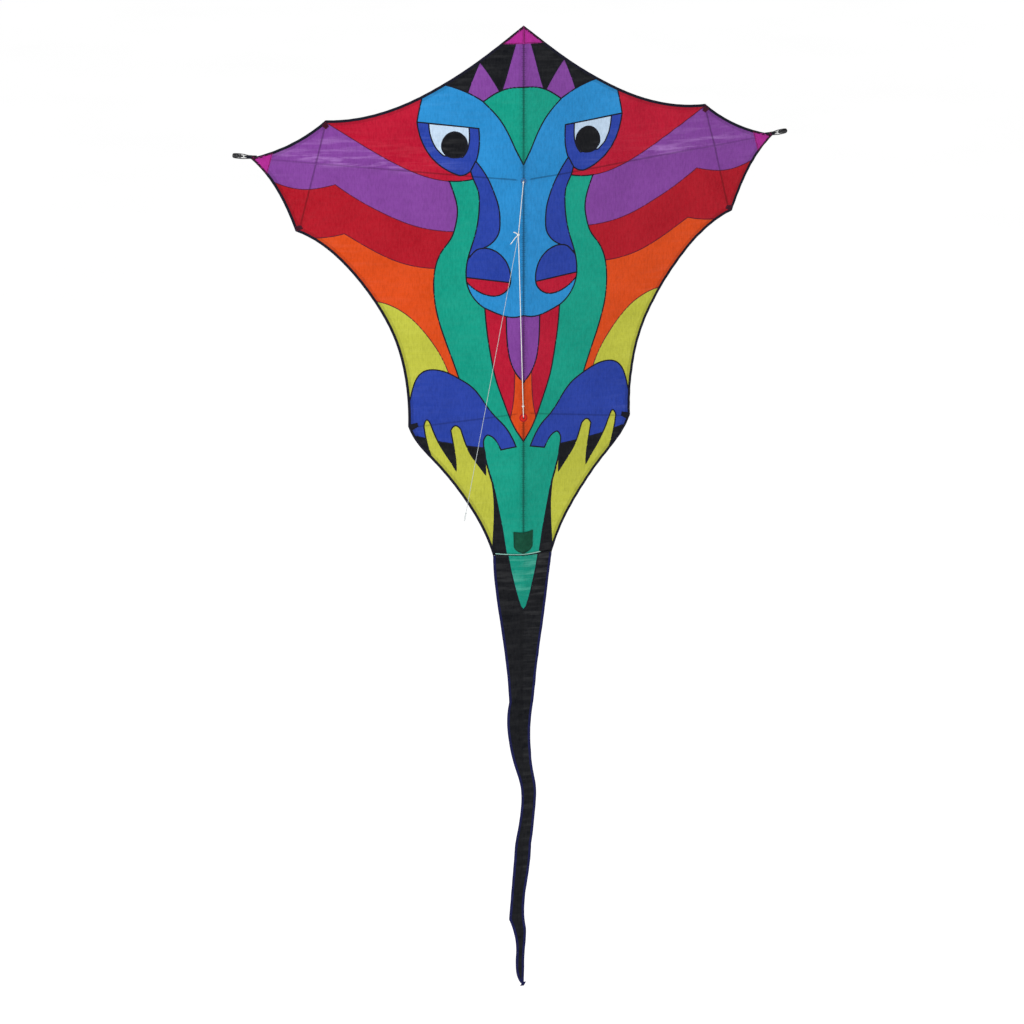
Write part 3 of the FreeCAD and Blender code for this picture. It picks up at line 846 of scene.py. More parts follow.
def build(name, points, faces, uv, material, behind=None, glint=None, flip=False):
    """Mesh object from arrays: places, faces, one flat place per vertex for the weave."""
    mesh = bpy.data.meshes.new(name)
    listed = [tuple(int(i) for i in (f[::-1] if flip else f)) for f in faces]
    mesh.from_pydata([tuple(p) for p in points], [], listed)
    layer = mesh.uv_layers.new(name="cut")
    corner = np.empty(len(mesh.loops), int)
    mesh.loops.foreach_get("vertex_index", corner)
    layer.data.foreach_set("uv", np.asarray(uv, np.float32)[corner].ravel())
    # behind holds each vertex's painted shade, glint its painted highlight
    for key, held in (("behind", behind), ("glint", glint)):
        values = np.zeros(len(points)) if held is None else held
        shade = mesh.attributes.new(key, "FLOAT", "POINT")
        shade.data.foreach_set("value", np.asarray(values, np.float32))
    return link(name, mesh, material)


# ---- painted shade of the rods, the spine and the hem behind the cloth -----------------------
def painted_shade_behind(u, z):
    """Painted shade: 1 where a rod lies right behind the cloth, less beside it and along the doubled hem,
    and 0.9 along the spine.
    """
    dark = np.zeros_like(u)
    strength = {"upper_spreader": 0.62, "lower_spreader": 0.45, "batten": 0.6}
    for name, (low, high) in RODS.items():
        across, share, over = off_line(u, z, low, high)
        line = np.clip((2.6 * MM - np.abs(across)) / (1.1 * MM), 0, 1) * (over < 1 * MM)
        if name == "upper_spreader":
            line = line * (0.55 + 0.45 * (1 - smooth((share - 0.3) / 0.3)))
        dark = np.maximum(dark, strength[name] * line)
    spine = np.clip((3.2 * MM - u) / (1.0 * MM), 0, 1) * (z < 0.36)
    far, _ = edge_distance(u, z)
    hem = 0.3 * (far < BAND + 0.4 * MM)
    return np.maximum(np.maximum(dark, hem), 0.9 * spine)


# ---- how a piece follows the bodies -----------------------------------------------------------
FOLD_START, FOLD_END = 2 * MM, 34 * MM
LOW_END, LOW_START = -0.68, FOLD_Z + 12 * MM


def follow(obj, side, near_u, low_z):
    """Rides the wing, or bends from the spine to it where the piece comes near the spine.

    Below LOW_END the turn also fades out, down to the tail, which stays with the spine.
    """
    wing = wing_of(side)
    if near_u > FOLD_END and low_z > LOW_END:
        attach(obj, wing)
        return
    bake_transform(obj, ROOT, wing, start=(side * FOLD_START, SAIL_Y, 0),
             end=(side * FOLD_END, SAIL_Y, 0))
    if low_z > LOW_END:
        return
    count = len(obj.data.vertices)
    weight, place = np.empty(count), np.empty(count * 3)
    held = obj.data.attributes["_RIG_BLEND"].data
    held.foreach_get("value", weight)
    obj.data.vertices.foreach_get("co", place)
    weight *= smooth((place[2::3] - LOW_START) / (LOW_END - LOW_START))
    held.foreach_set("value", weight.astype(np.float32))


def dress(obj, slot, body, *nodes):
    """Hangs a piece on the body it rides on and hides the nodes it stands for. slot is not used."""
    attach(obj, body)
    if nodes:
        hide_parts(*nodes)


def wing_of(side):
    return ("right" if side > 0 else "left") + "_wing"


def prefix_of(side):
    return "right_" if side > 0 else "left_"


def declare_cut(wide, tall, area):
    """Works out the flat width, height and area of a piece of cloth, clamped; the results are not kept."""
    wide, tall = max(wide, 0.0105), max(tall, 0.0105)
    wide = min(wide, area / (0.32 * tall))
    area = min(area, 0.995 * wide * tall)


def triangle_area(points, tris):
    p = points[tris]
    return 0.5 * np.abs(np.cross(p[:, 1] - p[:, 0], p[:, 2] - p[:, 0])).sum()


# ---- panels of cloth ---------------------------------------------------------------------------
def parts_of(panel, tris):
    """Splits the panels that lie in two far places, so that each piece is one cut."""
    middle = VERTS[tris].mean(1)[:, 1]
    if panel in ("black_panels", "green_panels"):
        return [("", tris[middle > -0.64]), ("_lower", tris[middle <= -0.64])]
    if panel == "wing_yellow":
        return [("", tris[middle > -0.6]), ("_hand", tris[middle <= -0.6])]
    return [("", tris)]


def add_panels(side):
    labels = np.array(LABEL)
    prefix = prefix_of(side)
    for panel, material in PANEL_SLOT.items():
        for suffix, tris in parts_of(panel, TRIS[labels == panel]):
            index, inverse = np.unique(tris, return_inverse=True)
            u, z = VERTS[index, 0], VERTS[index, 1]
            # painted highlight, weaker on the red cloth; the next call gives the painted shade of rods,
            # spine and hem
            shine = glints(u, z, side) * (0.25 if "red" in panel else 1.0)
            obj = build(prefix + panel + suffix + "_cloth", sail_point(u, z, side),
                        inverse.reshape(-1, 3), np.column_stack([u * side, z]),
                        CLOTH[material], painted_shade_behind(u, z), shine,
                        flip=side < 0)
            follow(obj, side, u.min(), z.min())
            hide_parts(prefix + panel)
            declare_cut(np.ptp(u), np.ptp(z), triangle_area(VERTS, tris))


def on_sail(side):
    def place(u, z, lift):
        return sail_point(u, z, side, lift)
    return place


# ---- seams, tape and patches: strips laid along flat lines --------------------------------------
def strip(place, line, profile, closed_profile=True):
    """Sweeps a profile of (across, lift) along a flat line. Gives points, faces and uv."""
    normal = across_line(line)
    arc = arc_of(line)
    count, wide = len(line), len(profile)
    points = np.empty((count, wide, 3))
    uv = np.empty((count, wide, 2))
    girth = 0
    for k, (across, lift) in enumerate(profile):
        flat = line + normal * across
        points[:, k] = place(flat[:, 0], flat[:, 1], np.full(count, lift))
        if k:
            girth += math.dist(profile[k - 1], profile[k])
        uv[:, k, 0] = girth
        uv[:, k, 1] = arc
    faces = grid_faces(count, wide, around=closed_profile)
    if closed_profile:
        faces += [first_cap(wide), last_cap(count, wide)]
    return points.reshape(-1, 3), faces, uv.reshape(-1, 2)


def gather(pieces):
    """Several (points, faces, uv) as one."""
    points, faces, uvs, start = [], [], [], 0
    for p, f, uv in pieces:
        points.append(p)
        uvs.append(uv)
        faces.extend(tuple(i + start for i in face) for face in f)
        start += len(p)
    return np.vstack(points), faces, np.vstack(uvs)


def lens(half, proud, lift=0.0):
    """Section of a rolled seam or row of thread, whose middle stands lift off the cloth."""
    turns = np.linspace(0, 2 * math.pi, 9)[:-1]
    return [(half * math.cos(t), proud * math.sin(t) + lift) for t in turns]


SAME_CLOTH = {"wing_purple", "wing_red", "wing_orange", "wing_yellow", "red_face_panels"}


def seam_edges():
    """Edges between triangles of two panels, in two sets: outlines and plain seams."""
    owner = {}
    for t, name in zip(TRIS, LABEL):
        if name and name != TAPE_NODE:
            low = VERTS[t, 1].mean() < -0.6
            for key in sides_of(t):
                owner.setdefault(key, []).append((name, low))
    outlined, plain = {}, {}
    for edge, held in owner.items():
        if len(held) == 2 and held[0][0] != held[1][0]:
            pair = frozenset((held[0][0], held[1][0]))
            wing = pair <= SAME_CLOTH and not held[0][1]
            (plain if wing else outlined).setdefault(pair, []).append(edge)
    return outlined, plain


FACE_LINES = [
    [(131, 25), (124, 38), (118, 50)],
    [(64, -181), (78, -174), (94, -170), (116, -174), (134, -193)],
]


def add_seams(side):
    outlined, plain = seam_edges()
    for kind, sets, half, proud, material in (
            ("figure_outline", outlined, 1.75 * MM, 0.45 * MM, DARK_THREAD),
            ("panel_seams", plain, 1.1 * MM, 0.35 * MM, RED_THREAD)):
        above, below = [], []
        for edges in sets.values():
            for run in chains(edges):
                line = VERTS[run]
                if len(line) < 2:
                    continue
                made = strip(on_sail(side), line, lens(half, proud))
                (below if line[:, 1].mean() < -0.66 else above).append(made)
        if kind == "figure_outline":
            for points in FACE_LINES:
                line = curved(np.array(points) * MM, 20)
                above.append(strip(on_sail(side), line, lens(half, proud)))
        for suffix, pieces in (("", above), ("_lower", below)):
            if pieces:
                points, faces, uv = gather(pieces)
                obj = build(prefix_of(side) + kind + suffix, points, faces, uv, material,
                            flip=side < 0)
                follow(obj, side, 0, points[:, 2].min())


TAPE_PROFILE = [(6.5, 0.25), (6.2, 0.5), (3.2, 0.7), (0.7, 0.65), (-0.1, 0.3), (-0.3, -0.3),
                (0.5, -0.9), (3.2, -1.1), (6.2, -1.0), (6.5, -0.7)]


def tape_profile(inward, thin=1.0):
    """Section of the folded tape, whose open side lies inward, at a share of its thickness."""
    profile = [(inward * s * MM, lift * MM * thin) for s, lift in TAPE_PROFILE]
    return profile if inward > 0 else profile[::-1]


def add_binding(side):
    """Tape folded over the outer edge, from the nose to the tail, with its two stitch rows."""
    inward = inward_way()
    place = on_sail(side)
    prefix = prefix_of(side)
    points, faces, uv = strip(place, OUTLINE, tape_profile(inward), closed_profile=False)
    tape = build(prefix + "edge_tape", points, faces, uv, TAPE, flip=side < 0)
    follow(tape, side, 0, points[:, 2].min())
    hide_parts(prefix + "edge_binding")
    rows = []
    for inset in (5.2 * MM, 1.9 * MM):
        line = beside(OUTLINE, inward * inset)
        rows.append(strip(place, line, lens(0.35 * MM, 0.22 * MM, 0.62 * MM)))
    points, faces, uv = gather(rows)
    thread = build(prefix + "tape_stitches", points, faces, uv, DARK_THREAD, flip=side < 0)
    follow(thread, side, 0, points[:, 2].min())


def inward_way():
    """1 where the sail lies to the right of its outline, from nose to tail, and else -1."""
    middle = len(OUTLINE) // 3
    step = beside(OUTLINE, 5 * MM)[middle] - OUTLINE[middle]
    return 1 if step[0] < 0 else -1


def filled(loop, step):
    """Flat points and triangles that fill one closed outline."""
    ring = divided(np.array(loop, float), step)
    ring = ring if enclosed(ring) > 0 else ring[::-1]
    low, high = ring.min(0), ring.max(0)
    tree = tree_of(ring)
    points = list(ring)
    for z in np.arange(low[1] + step / 2, high[1], step * 0.87):
        for u in np.arange(low[0] + step / 2, high[0], step):
            if tree.find((u, z, 0))[2] > 0.5 * step:
                points.append((u, z))
    scaled = [Vector((p[0] * 1000, p[1] * 1000)) for p in points]
    verts, _, tris, *_ = delaunay_2d_cdt(scaled, [], [list(range(len(ring)))], 1, 0.01)
    return (np.array([[v.x, v.y] for v in verts]) * MM,
            np.array([t[:] for t in tris]))


def add_patch(name, place, loop, lift, material, stitches=None):
    """A flat patch laid on the cloth, with a row of stitches just inside its border."""
    flat, tris = filled(loop, 4 * MM)
    points = place(flat[:, 0], flat[:, 1], np.full(len(flat), lift))
    glint = None
    # on the tail, painted highlight streaks, fading out towards the tongue's point
    if place is tail_point:
        glint = 0.5 * smooth((flat[:, 1] - FOLD_Z + 0.13) / 0.05)
    obj = build(name, points, tris, flat, material, glint=glint)
    made = [obj]
    if stitches:
        ring = divided(np.array(loop, float), 3 * MM)
        inset = (-1 if enclosed(ring) > 0 else 1) * 1.8 * MM
        line = beside(np.vstack([ring, ring[:1]]), inset)
        row = strip(place, line, lens(0.5 * MM, 0.3 * MM, lift + 0.15 * MM))
        rows = build(name + "_stitches", *row, stitches)
        made.append(rows)
    return made


def corner_loop(corner, reach, depth, inset=2 * MM):
    """The corner of the half sail within reach of a point, closed depth inside it."""
    inward = inward_way()
    at = np.argmin(np.linalg.norm(OUTLINE - np.array(corner), axis=1))
    near = np.linalg.norm(OUTLINE - OUTLINE[at], axis=1) < reach
    rim = beside(OUTLINE, inward * inset)[near]
    if depth:
        way = across_line(OUTLINE)[at] * inward
        way /= np.linalg.norm(way)
        across = (rim[-1] - rim[0]) * 0.3
        middle = OUTLINE[at] + way * depth
        rim = np.vstack([rim, [middle + across, middle - across]])
    return rim


CORNERS = {
    "nose": ((0.0, NOSE_Z), 70 * MM, 0, "ripstop_magenta"),
    "tip": ((0.69, 0.07), 62 * MM, 0, "ripstop_magenta"),
    "upper_corner": ((0.489, 0.146), 11 * MM, 17 * MM, "patch_maroon"),
    "lower_corner": ((0.556, -0.112), 11 * MM, 19 * MM, "patch_maroon"),
    "hip": ((0.285, -0.625), 12 * MM, 24 * MM, "pocket"),
}


def add_corner_patches(side):
    for name, (corner, reach, depth, material) in CORNERS.items():
        loop = corner_loop(corner, reach, depth)
        if name == "nose":
            loop = np.vstack([[[0, NOSE_Z - 3 * MM]], loop, [[0, loop[-1, 1]]]])
        cloth = POCKET if material == "pocket" else CLOTH[material]
        made = add_patch(prefix_of(side) + name + "_patch", on_sail(side), loop, 0.6 * MM,
                         cloth, DARK_THREAD if material == "pocket" else RED_THREAD)
        for obj in made:
            follow(obj, side, 0 if name == "nose" else 0.1, 0)


# ---- tubes and turned pieces ------------------------------------------------------------------
def tube(path, radius, closed=False, sides=12):
    """Round tube along points, as (points, faces, uv)."""
    path = np.array(path, float)
    count = len(path)
    if closed:
        tangent = np.roll(path, -1, axis=0) - np.roll(path, 1, axis=0)
    else:
        tangent = np.gradient(path, axis=0)
    tangent /= np.linalg.norm(tangent, axis=1, keepdims=True)
    first = np.cross(tangent[0], (0.3, 0.5, 0.81))
    first /= np.linalg.norm(first)
    points, uv, arc = [], [], 0
    frames = []
    for k in range(count):
        first = first - tangent[k] * np.dot(first, tangent[k])
        first /= np.linalg.norm(first)
        frames.append(first.copy())
    for k in range(count):
        second = np.cross(tangent[k], frames[k])
        if k:
            arc += np.linalg.norm(path[k] - path[k - 1])
        for j in range(sides):
            turn = 2 * math.pi * j / sides
            points.append(path[k] + radius * (math.cos(turn) * frames[k] + math.sin(turn) * second))
            uv.append((turn * radius, arc))
    faces = grid_faces(count, sides, closed=closed)
    if not closed:
        faces += [first_cap(sides), last_cap(count, sides)]
    return np.array(points), faces, np.array(uv)


def curved(points, count=24):
    """Smooth open run of points through a few control points."""
    points = np.array(points, float)
    at = np.linspace(0, len(points) - 1, count)
    out = []
    for t in at:
        k = min(int(t), len(points) - 2)
        f = t - k
        p0, p1 = points[max(k - 1, 0)], points[k]
        p2, p3 = points[k + 1], points[min(k + 2, len(points) - 1)]
        out.append(0.5 * (2 * p1 + (p2 - p0) * f + (2 * p0 - 5 * p1 + 4 * p2 - p3) * f * f
                          + (3 * p1 - p0 - 3 * p2 + p3) * f ** 3))
    return np.array(out)


def overhand(centre, size, cord_r, along):
    """An overhand knot drawn tight round a point, its axis along a direction."""
    turns = np.linspace(0, 2 * math.pi, 61)[:-1]
    knot = np.column_stack([np.sin(turns) + 2 * np.sin(2 * turns),
                            np.cos(turns) - 2 * np.cos(2 * turns), -1.3 * np.sin(3 * turns)])
    knot *= (size - cord_r) / 3.0
    turn = Vector((0, 0, 1)).rotation_difference(Vector(along)).to_matrix()
    knot = knot @ np.array(turn).T + np.array(centre)
    return tube(knot, cord_r, closed=True, sides=10)


# ---- bridle and flying line --------------------------------------------------------------------
UPPER_EYE = Vector((0, -14.3, -2)) * MM
LOWER_EYE = Vector((0, -14.3, -603)) * MM
TOW_POINT = Vector((-38, -122.1, -113)) * MM
LEADER_END = Vector((-220, -342.1, -750)) * MM
LINE_D, LEADER_D = 2.0 * MM, 1.2 * MM
KNOT_R = 3.2 * MM
LOOP_R = 9 * MM


def cord_curve(name, points, diameter, material):
    data = bpy.data.curves.new(name, "CURVE")
    data.dimensions = "3D"
    spline = data.splines.new("NURBS")
    spline.points.add(len(points) - 1)
    for point, at in zip(spline.points, points):
        point.co = (*at, 1)
    spline.order_u = 3
    spline.use_endpoint_u = True
    data.bevel_depth = diameter / 2
    data.bevel_resolution = 4
    data.materials.append(material)
    obj = bpy.data.objects.new(name, data)
    bpy.context.scene.collection.objects.link(obj)
    return obj


def straight(a, b, inner=1):
    """Points on a taut stretch."""
    return [a.lerp(b, k / (inner + 1)) for k in range(inner + 2)]


def add_knots():
    down = (LEADER_END - TOW_POINT).normalized()
    up_leg = (TOW_POINT - UPPER_EYE).normalized()
    low_leg = (TOW_POINT - LOWER_EYE).normalized()
    pieces = [overhand(TOW_POINT, KNOT_R + 0.6 * MM, 1.2 * MM, up_leg)]
    short = curved([TOW_POINT, TOW_POINT + Vector((-6, -3, 5)) * MM,
                    TOW_POINT + Vector((-13, -4, 8)) * MM], 10)
    long_end = curved([TOW_POINT, TOW_POINT + Vector((-9, -2, -8)) * MM,
                       TOW_POINT + Vector((-20, -2, -22)) * MM], 12)
    pieces.append(tube(short, 1.3 * MM))
    pieces.append(tube(long_end, 1.0 * MM))
    tow = build("tow_knot_tied", *gather(pieces), LINE)
    dress(tow, "bridle_cord", "bridle", "tow_knot")
    small = []
    for name, centre, size, cord_r, way in (
            ("eye_knot_tied", UPPER_EYE + up_leg * 4.5 * MM, 2.4 * MM, 0.9 * MM, up_leg),
            ("lower_bead_knot", LOWER_EYE + low_leg * 32 * MM, 3.6 * MM, 1.4 * MM, low_leg)):
        knot = build(name, *overhand(centre, size, cord_r, way), LINE)
        dress(knot, "bridle_cord", "bridle", "bridle_knots")
        small.append(knot)
    side_way = Vector((0, 1, 0)).cross(down).cross(down).normalized()
    centre = LEADER_END + down * (LOOP_R + 1.5 * MM)
    ring = []
    for k in range(48):
        turn = 2 * math.pi * k / 48
        wide = 0.55 + 0.18 * math.cos(turn)
        ring.append(centre + down * LOOP_R * math.cos(turn) + side_way * LOOP_R * wide
                    * math.sin(turn))
    loop = build("leader_loop_tied", *gather([
        tube(ring, LEADER_D / 2, closed=True, sides=10),
        overhand(LEADER_END, 2.2 * MM, 0.75 * MM, down)]), LEADER)
    dress(loop, "bridle_cord", "flying_line", "leader_loop")
    return tow, small, loop


def add_lines():
    tow, small, loop = add_knots()
    for name, eye, pieces in (("bridle_upper_leg", UPPER_EYE, [small[0]]),
                              ("bridle_lower_leg", LOWER_EYE, [small[1], tow])):
        leg = cord_curve(name + "_line", straight(eye, TOW_POINT), LINE_D, LINE)
        dress(leg, "bridle_cord", "bridle", name)
        tuple(eye)
        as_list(pieces)
    leader = cord_curve("leader_flying_line", straight(TOW_POINT, LEADER_END), LEADER_D,
                        LEADER)
    dress(leader, "bridle_cord", "flying_line", "leader_line")


# ---- tail --------------------------------------------------------------------------------------
def tail_extents():
    """Left and right edge of the tail at every few millimetres of its length."""
    loops = []
    for node in ("tail_upper", "tail_middle", "tail_lower"):
        loops.extend(front_loops(*triangles(node)))
    low = min(loop[:, 1].min() for loop in loops)
    rows = np.linspace(FOLD_Z - 0.5 * MM, low + 0.3 * MM, 230)
    left, right = [], []
    for z in rows:
        hits = []
        for loop in loops:
            a, b = loop, np.roll(loop, -1, axis=0)
            crossing = (a[:, 1] - z) * (b[:, 1] - z) <= 0
            for p, q in zip(a[crossing], b[crossing]):
                if abs(q[1] - p[1]) > 1e-9:
                    hits.append(p[0] + (q[0] - p[0]) * (z - p[1]) / (q[1] - p[1]))
        if hits:
            left.append(min(hits))
            right.append(max(hits))
        else:
            left.append(left[-1])
            right.append(right[-1])
    rows[0] = FOLD_Z
    return rows, np.array(left), np.array(right)


TAIL_Z, TAIL_LEFT, TAIL_RIGHT = tail_extents()
FLAT_FROM = 0.19


def tail_point(x, z, lift):
    """Place of the tail's flat points: a shallow V under the sail that flattens out below."""
    x, z = np.asarray(x, float), np.asarray(z, float)
    top = centre_place(x, np.full(len(x), FOLD_Z), 0.0)
    fall = FOLD_Z - z
    left = np.interp(-z, -TAIL_Z, TAIL_LEFT)
    right = np.interp(-z, -TAIL_Z, TAIL_RIGHT)
    middle = (left + right) / 2
    share = (x - middle) / np.maximum((right - left) / 2, 4 * MM)
    out = 1.6 * MM + 1.5 * MM * np.exp(-np.abs(share) / 0.35)
    out = out + 1.8 * MM * np.sin(z * 13 + 1.1) * share * smooth(fall / 0.3)
    out = out + 1.5 * MM * waves(x, z, 41, 0.09) * smooth(fall / 0.02)
    out = out + 0.7 * MM * waves(x * 2.0, z, 42, 0.035) * smooth(fall / 0.02)
    crinkle = smooth(fall / 0.008) * np.exp(-fall / 0.05)
    out = out + 2.0 * MM * crinkle * np.sin(z * 2 * math.pi / 0.021 + 2 * np.sin(x * 40))
    below = np.column_stack([x, SAIL_Y - out, z])
    mix = smooth(fall / FLAT_FROM)[:, None]
    place = top * (1 - mix) + below * mix
    place[:, 2] = z
    place[:, 1] -= lift + (1 - mix[:, 0]) * out * crinkle * 0.8
    return place


# name, top and foot, the bodies above and below, and where the bend between them starts and ends
CUTS = (
    ("tail_top_cloth", -0.957, -1.150, ROOT, "tail_upper", -0.960, -1.060),
    ("tail_bend_cloth", -1.150, -1.530, "tail_upper", "tail_middle", -1.290, -1.390),
    ("tail_end_cloth", -1.530, -2.101, "tail_middle", "tail_lower", -1.670, -1.770),
)


def bend(obj, cut):
    _, _, _, upper, lower, start, end = cut
    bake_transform(obj, upper, lower, start=(0, SAIL_Y, start), end=(0, SAIL_Y, end))


CREASE_X = -2 * MM


def add_tail():
    columns = 31
    for cut in CUTS:
        name, top, foot, _, node, *_ = cut
        inside = TAIL_Z[(TAIL_Z < top - 1 * MM) & (TAIL_Z > foot + 1 * MM)]
        rows = np.concatenate([[top], inside, [max(foot, TAIL_Z[-1])]])
        left, right = np.interp(-rows, -TAIL_Z, TAIL_LEFT), np.interp(-rows, -TAIL_Z,
                                                                      TAIL_RIGHT)
        flat = np.array([(x0 + (x1 - x0) * k / (columns - 1), z)
                         for z, x0, x1 in zip(rows, left, right) for k in range(columns)])
        faces = [(a, d, c, b) for a, b, c, d in grid_faces(len(rows), columns, around=False)]
        points = tail_point(flat[:, 0], flat[:, 1], np.zeros(len(flat)))
        share = np.tile(np.abs(np.linspace(-1, 1, columns)), len(rows))
        # darker along the middle of the tail
        behind = 0.25 * (share < 0.08)
        # painted highlight: strongest at the tail's top, and more on the right of the crease
        shine = 0.03 + 0.16 * np.exp((flat[:, 1] - FOLD_Z) / 0.1)
        shine = shine + 0.07 * smooth((flat[:, 0] - CREASE_X) / 0.003)
        obj = build(name, points, faces, flat, CLOTH["ripstop_black"], behind, shine)
        bend(obj, cut)
        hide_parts(node)
        area = np.sum((right[:-1] - left[:-1] + right[1:] - left[1:]) / 2 * -np.diff(rows))
        declare_cut((right - left).max(), rows[0] - rows[-1], area)
        hems = []
        for edge, inward in ((left, -1), (right, 1)):
            line = np.column_stack([edge, rows])
            hems.append(strip(tail_point, line, tape_profile(inward, 0.8), closed_profile=False))
        tape = build(name.replace("cloth", "edge_tape"), *gather(hems), TAIL_TAPE)
        bend(tape, cut)
    add_tongue()


TONGUE = [(39, 0), (31, -43), (20, -90), (13, -116), (7, -134), (0, -143)]


def add_tongue():
    """The green figure's point, sewn on to the top of the tail."""
    right = [(x * MM, FOLD_Z + z * MM) for x, z in TONGUE]
    left = [(-x, z) for x, z in reversed(right[:-1])]
    loop = divided(np.array(right + left), 5 * MM)
    made = add_patch("tail_tongue_cloth", tail_point, loop, 0.35 * MM,
                     CLOTH["ripstop_green"])
    outline = np.array(right)
    rows = []
    for line in (outline, outline * (-1, 1)):
        rows.append(strip(tail_point, divided_open(line, 4 * MM),
                          lens(1.6 * MM, 0.45 * MM, 0.5 * MM)))
    edge = build("tail_tongue_outline", *gather(rows), DARK_THREAD)
    for obj in (*made, edge):
        bend(obj, CUTS[0])


def divided_open(line, step):
    """An open line with no edge longer than step."""
    out = [line[0]]
    for a, b in zip(line[:-1], line[1:]):
        pieces = max(1, int(math.ceil(np.linalg.norm(b - a) / step)))
        out.extend(a + (b - a) * k / pieces for k in range(1, pieces + 1))
    return np.array(out)


# ---- centre pieces ---------------------------------------------------------------------------
def add_centre():
    add_spine_tunnel()
    add_spine_patch()
    add_eyelets()
    add_fold_hem()


SLEEVE_RUNS = ((26, 344), (-268, -26), (-566, -332), (-884, -618))


def add_spine_tunnel():
    """Cloth tunnel on the back of the sail that the spine slides in, in four lengths."""
    pieces = []
    section = []
    for turn in np.linspace(-125, 125, 21):
        a = math.radians(turn)
        section.append((4.0 * math.sin(a), 4.0 * math.cos(a)))
    back = (SAIL_Y - SPINE_Y) / MM + 0.6
    section = [(-11, back), (-6, back + 0.3)] + section + [(6, back + 0.3), (11, back)]
    section = np.array(section) * MM
    girth = arc_of(section)
    for low, high in SLEEVE_RUNS:
        rows = np.arange(low * MM, high * MM + 1e-6, 6 * MM)
        points, uv = [], []
        for z in rows:
            flare = 1 + 0.12 * math.exp(-min(z - rows[0], rows[-1] - z) / 0.004)
            ripple = 0.25 * MM * math.sin(z * 700) + 0.3 * MM * math.sin(z * 190)
            for (x, y), g in zip(section, girth):
                stand = max(0, y - back * MM)
                points.append((x * flare + ripple * stand / (7 * MM),
                               SPINE_Y + y * (flare if y > 0 else 1), z))
                uv.append((g, z))
        faces = grid_faces(len(rows), len(section), around=False)
        pieces.append((np.array(points), faces, np.array(uv)))
    tunnel = build("spine_tunnel", *gather(pieces), CLOTH["ripstop_black"])
    dress(tunnel, "centre_cloth", ROOT, "spine_sleeve")


def add_spine_patch():
    """Hook-and-loop patch over the foot of the spine, which bulges under it."""
    loop = front_loops(*triangles("spine_patch"))[0]

    def place(x, z, lift):
        points = centre_place(x, z, lift)
        points[:, 1] -= 0.7 * MM + 1.1 * MM * np.exp(-(np.asarray(x) / (5 * MM)) ** 2)
        return points

    made = add_patch("spine_hook_patch", place, loop, 0.4 * MM, FUZZ,
                     PATCH_THREAD)
    for obj in made:
        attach(obj, ROOT)
    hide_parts("spine_patch")


def add_eyelets():
    """Round patches where the bridle's legs go through the sail, each with a bound hole."""
    pieces, rims, sides = [], [], 40
    for eye, radius in ((UPPER_EYE, 7 * MM), (LOWER_EYE, 10.5 * MM)):
        points = []
        rings = (1.8 * MM, 2.6 * MM, radius * 0.55, radius * 0.9, radius)
        lifts = (0.5 * MM, 0.9 * MM, 0.7 * MM, 0.65 * MM, 0.15 * MM)
        for ring, lift in zip(rings, lifts):
            for k in range(sides):
                turn = 2 * math.pi * k / sides
                points.append((ring * math.cos(turn), eye.z + ring * math.sin(turn), lift))
        flat = np.array(points)
        pieces.append((centre_place(flat[:, 0], flat[:, 1], flat[:, 2]),
                       grid_faces(len(rings), sides), flat[:, :2]))
        for rim, proud in ((2.1 * MM, 0.7 * MM), (radius * 0.86, 0.45 * MM)):
            turns = np.linspace(0, 2 * math.pi, 49)
            line = np.column_stack([rim * np.cos(turns), eye.z + rim * np.sin(turns)])
            rims.append(strip(centre_place, line, lens(0.5 * MM, proud, 0.7 * MM)))
    for name, piece, cloth in (("upper_eye_patch", pieces[0], "ripstop_light_blue"),
                               ("lower_eye_patch", pieces[1], "ripstop_eye_patch")):
        disc = build(name, *piece, CLOTH[cloth])
        dress(disc, "patch_orange", ROOT, "bridle_patches")
    stitches = build("bridle_patch_stitches", *gather(rims), RED_THREAD)
    dress(stitches, "patch_orange", ROOT)


def add_fold_hem():
    """Rolled hem across the sail's foot, where the tail is sewn on, and beside it a pale strip that is a
    painted highlight of the fold.
    """
    half = TAIL_RIGHT[0]
    x = np.linspace(-half, half, 61)
    line = np.column_stack([x, FOLD_Z + 4 * MM - 3.2 * MM * np.cos(x / half * 1.4)])
    hem = build("tail_seam_roll", *strip(centre_place, line, lens(2.2 * MM, 1.3 * MM, 1.1 * MM)),
                CLOTH["ripstop_black"])
    dress(hem, "ripstop_black", ROOT)
    # painted highlight: a pale strip where the fold catches the light
    x = np.linspace(-70 * MM, 45 * MM, 41)
    line = np.column_stack([x, FOLD_Z + 9.5 * MM - 8 * MM * np.cos((x + 12 * MM) / 0.058)])
    fold = build("tail_seam_painted_highlight", *strip(centre_place, line, lens(1.3 * MM, 1.2 * MM, 1.4 * MM)),
                 CLOTH["painted_fold_highlight"])
    dress(fold, "ripstop_green", ROOT)


# ---- pockets, tips and the strap -----------------------------------------------------------------
def arm_frame(node, side):
    """Start, direction and length of a rod of the frame, in the row frame."""
    co = corners(prefix_of(side) + node)
    middle = co.mean(0)
    _, _, turn = np.linalg.svd(co - middle, full_matrices=False)
    axis = turn[0]
    if node == "batten":
        axis = axis if axis[2] < 0 else -axis
    elif axis[0] * side < 0:
        axis = -axis
    along = (co - middle) @ axis
    start = middle + axis * along.min()
    return start, axis, np.ptp(along)


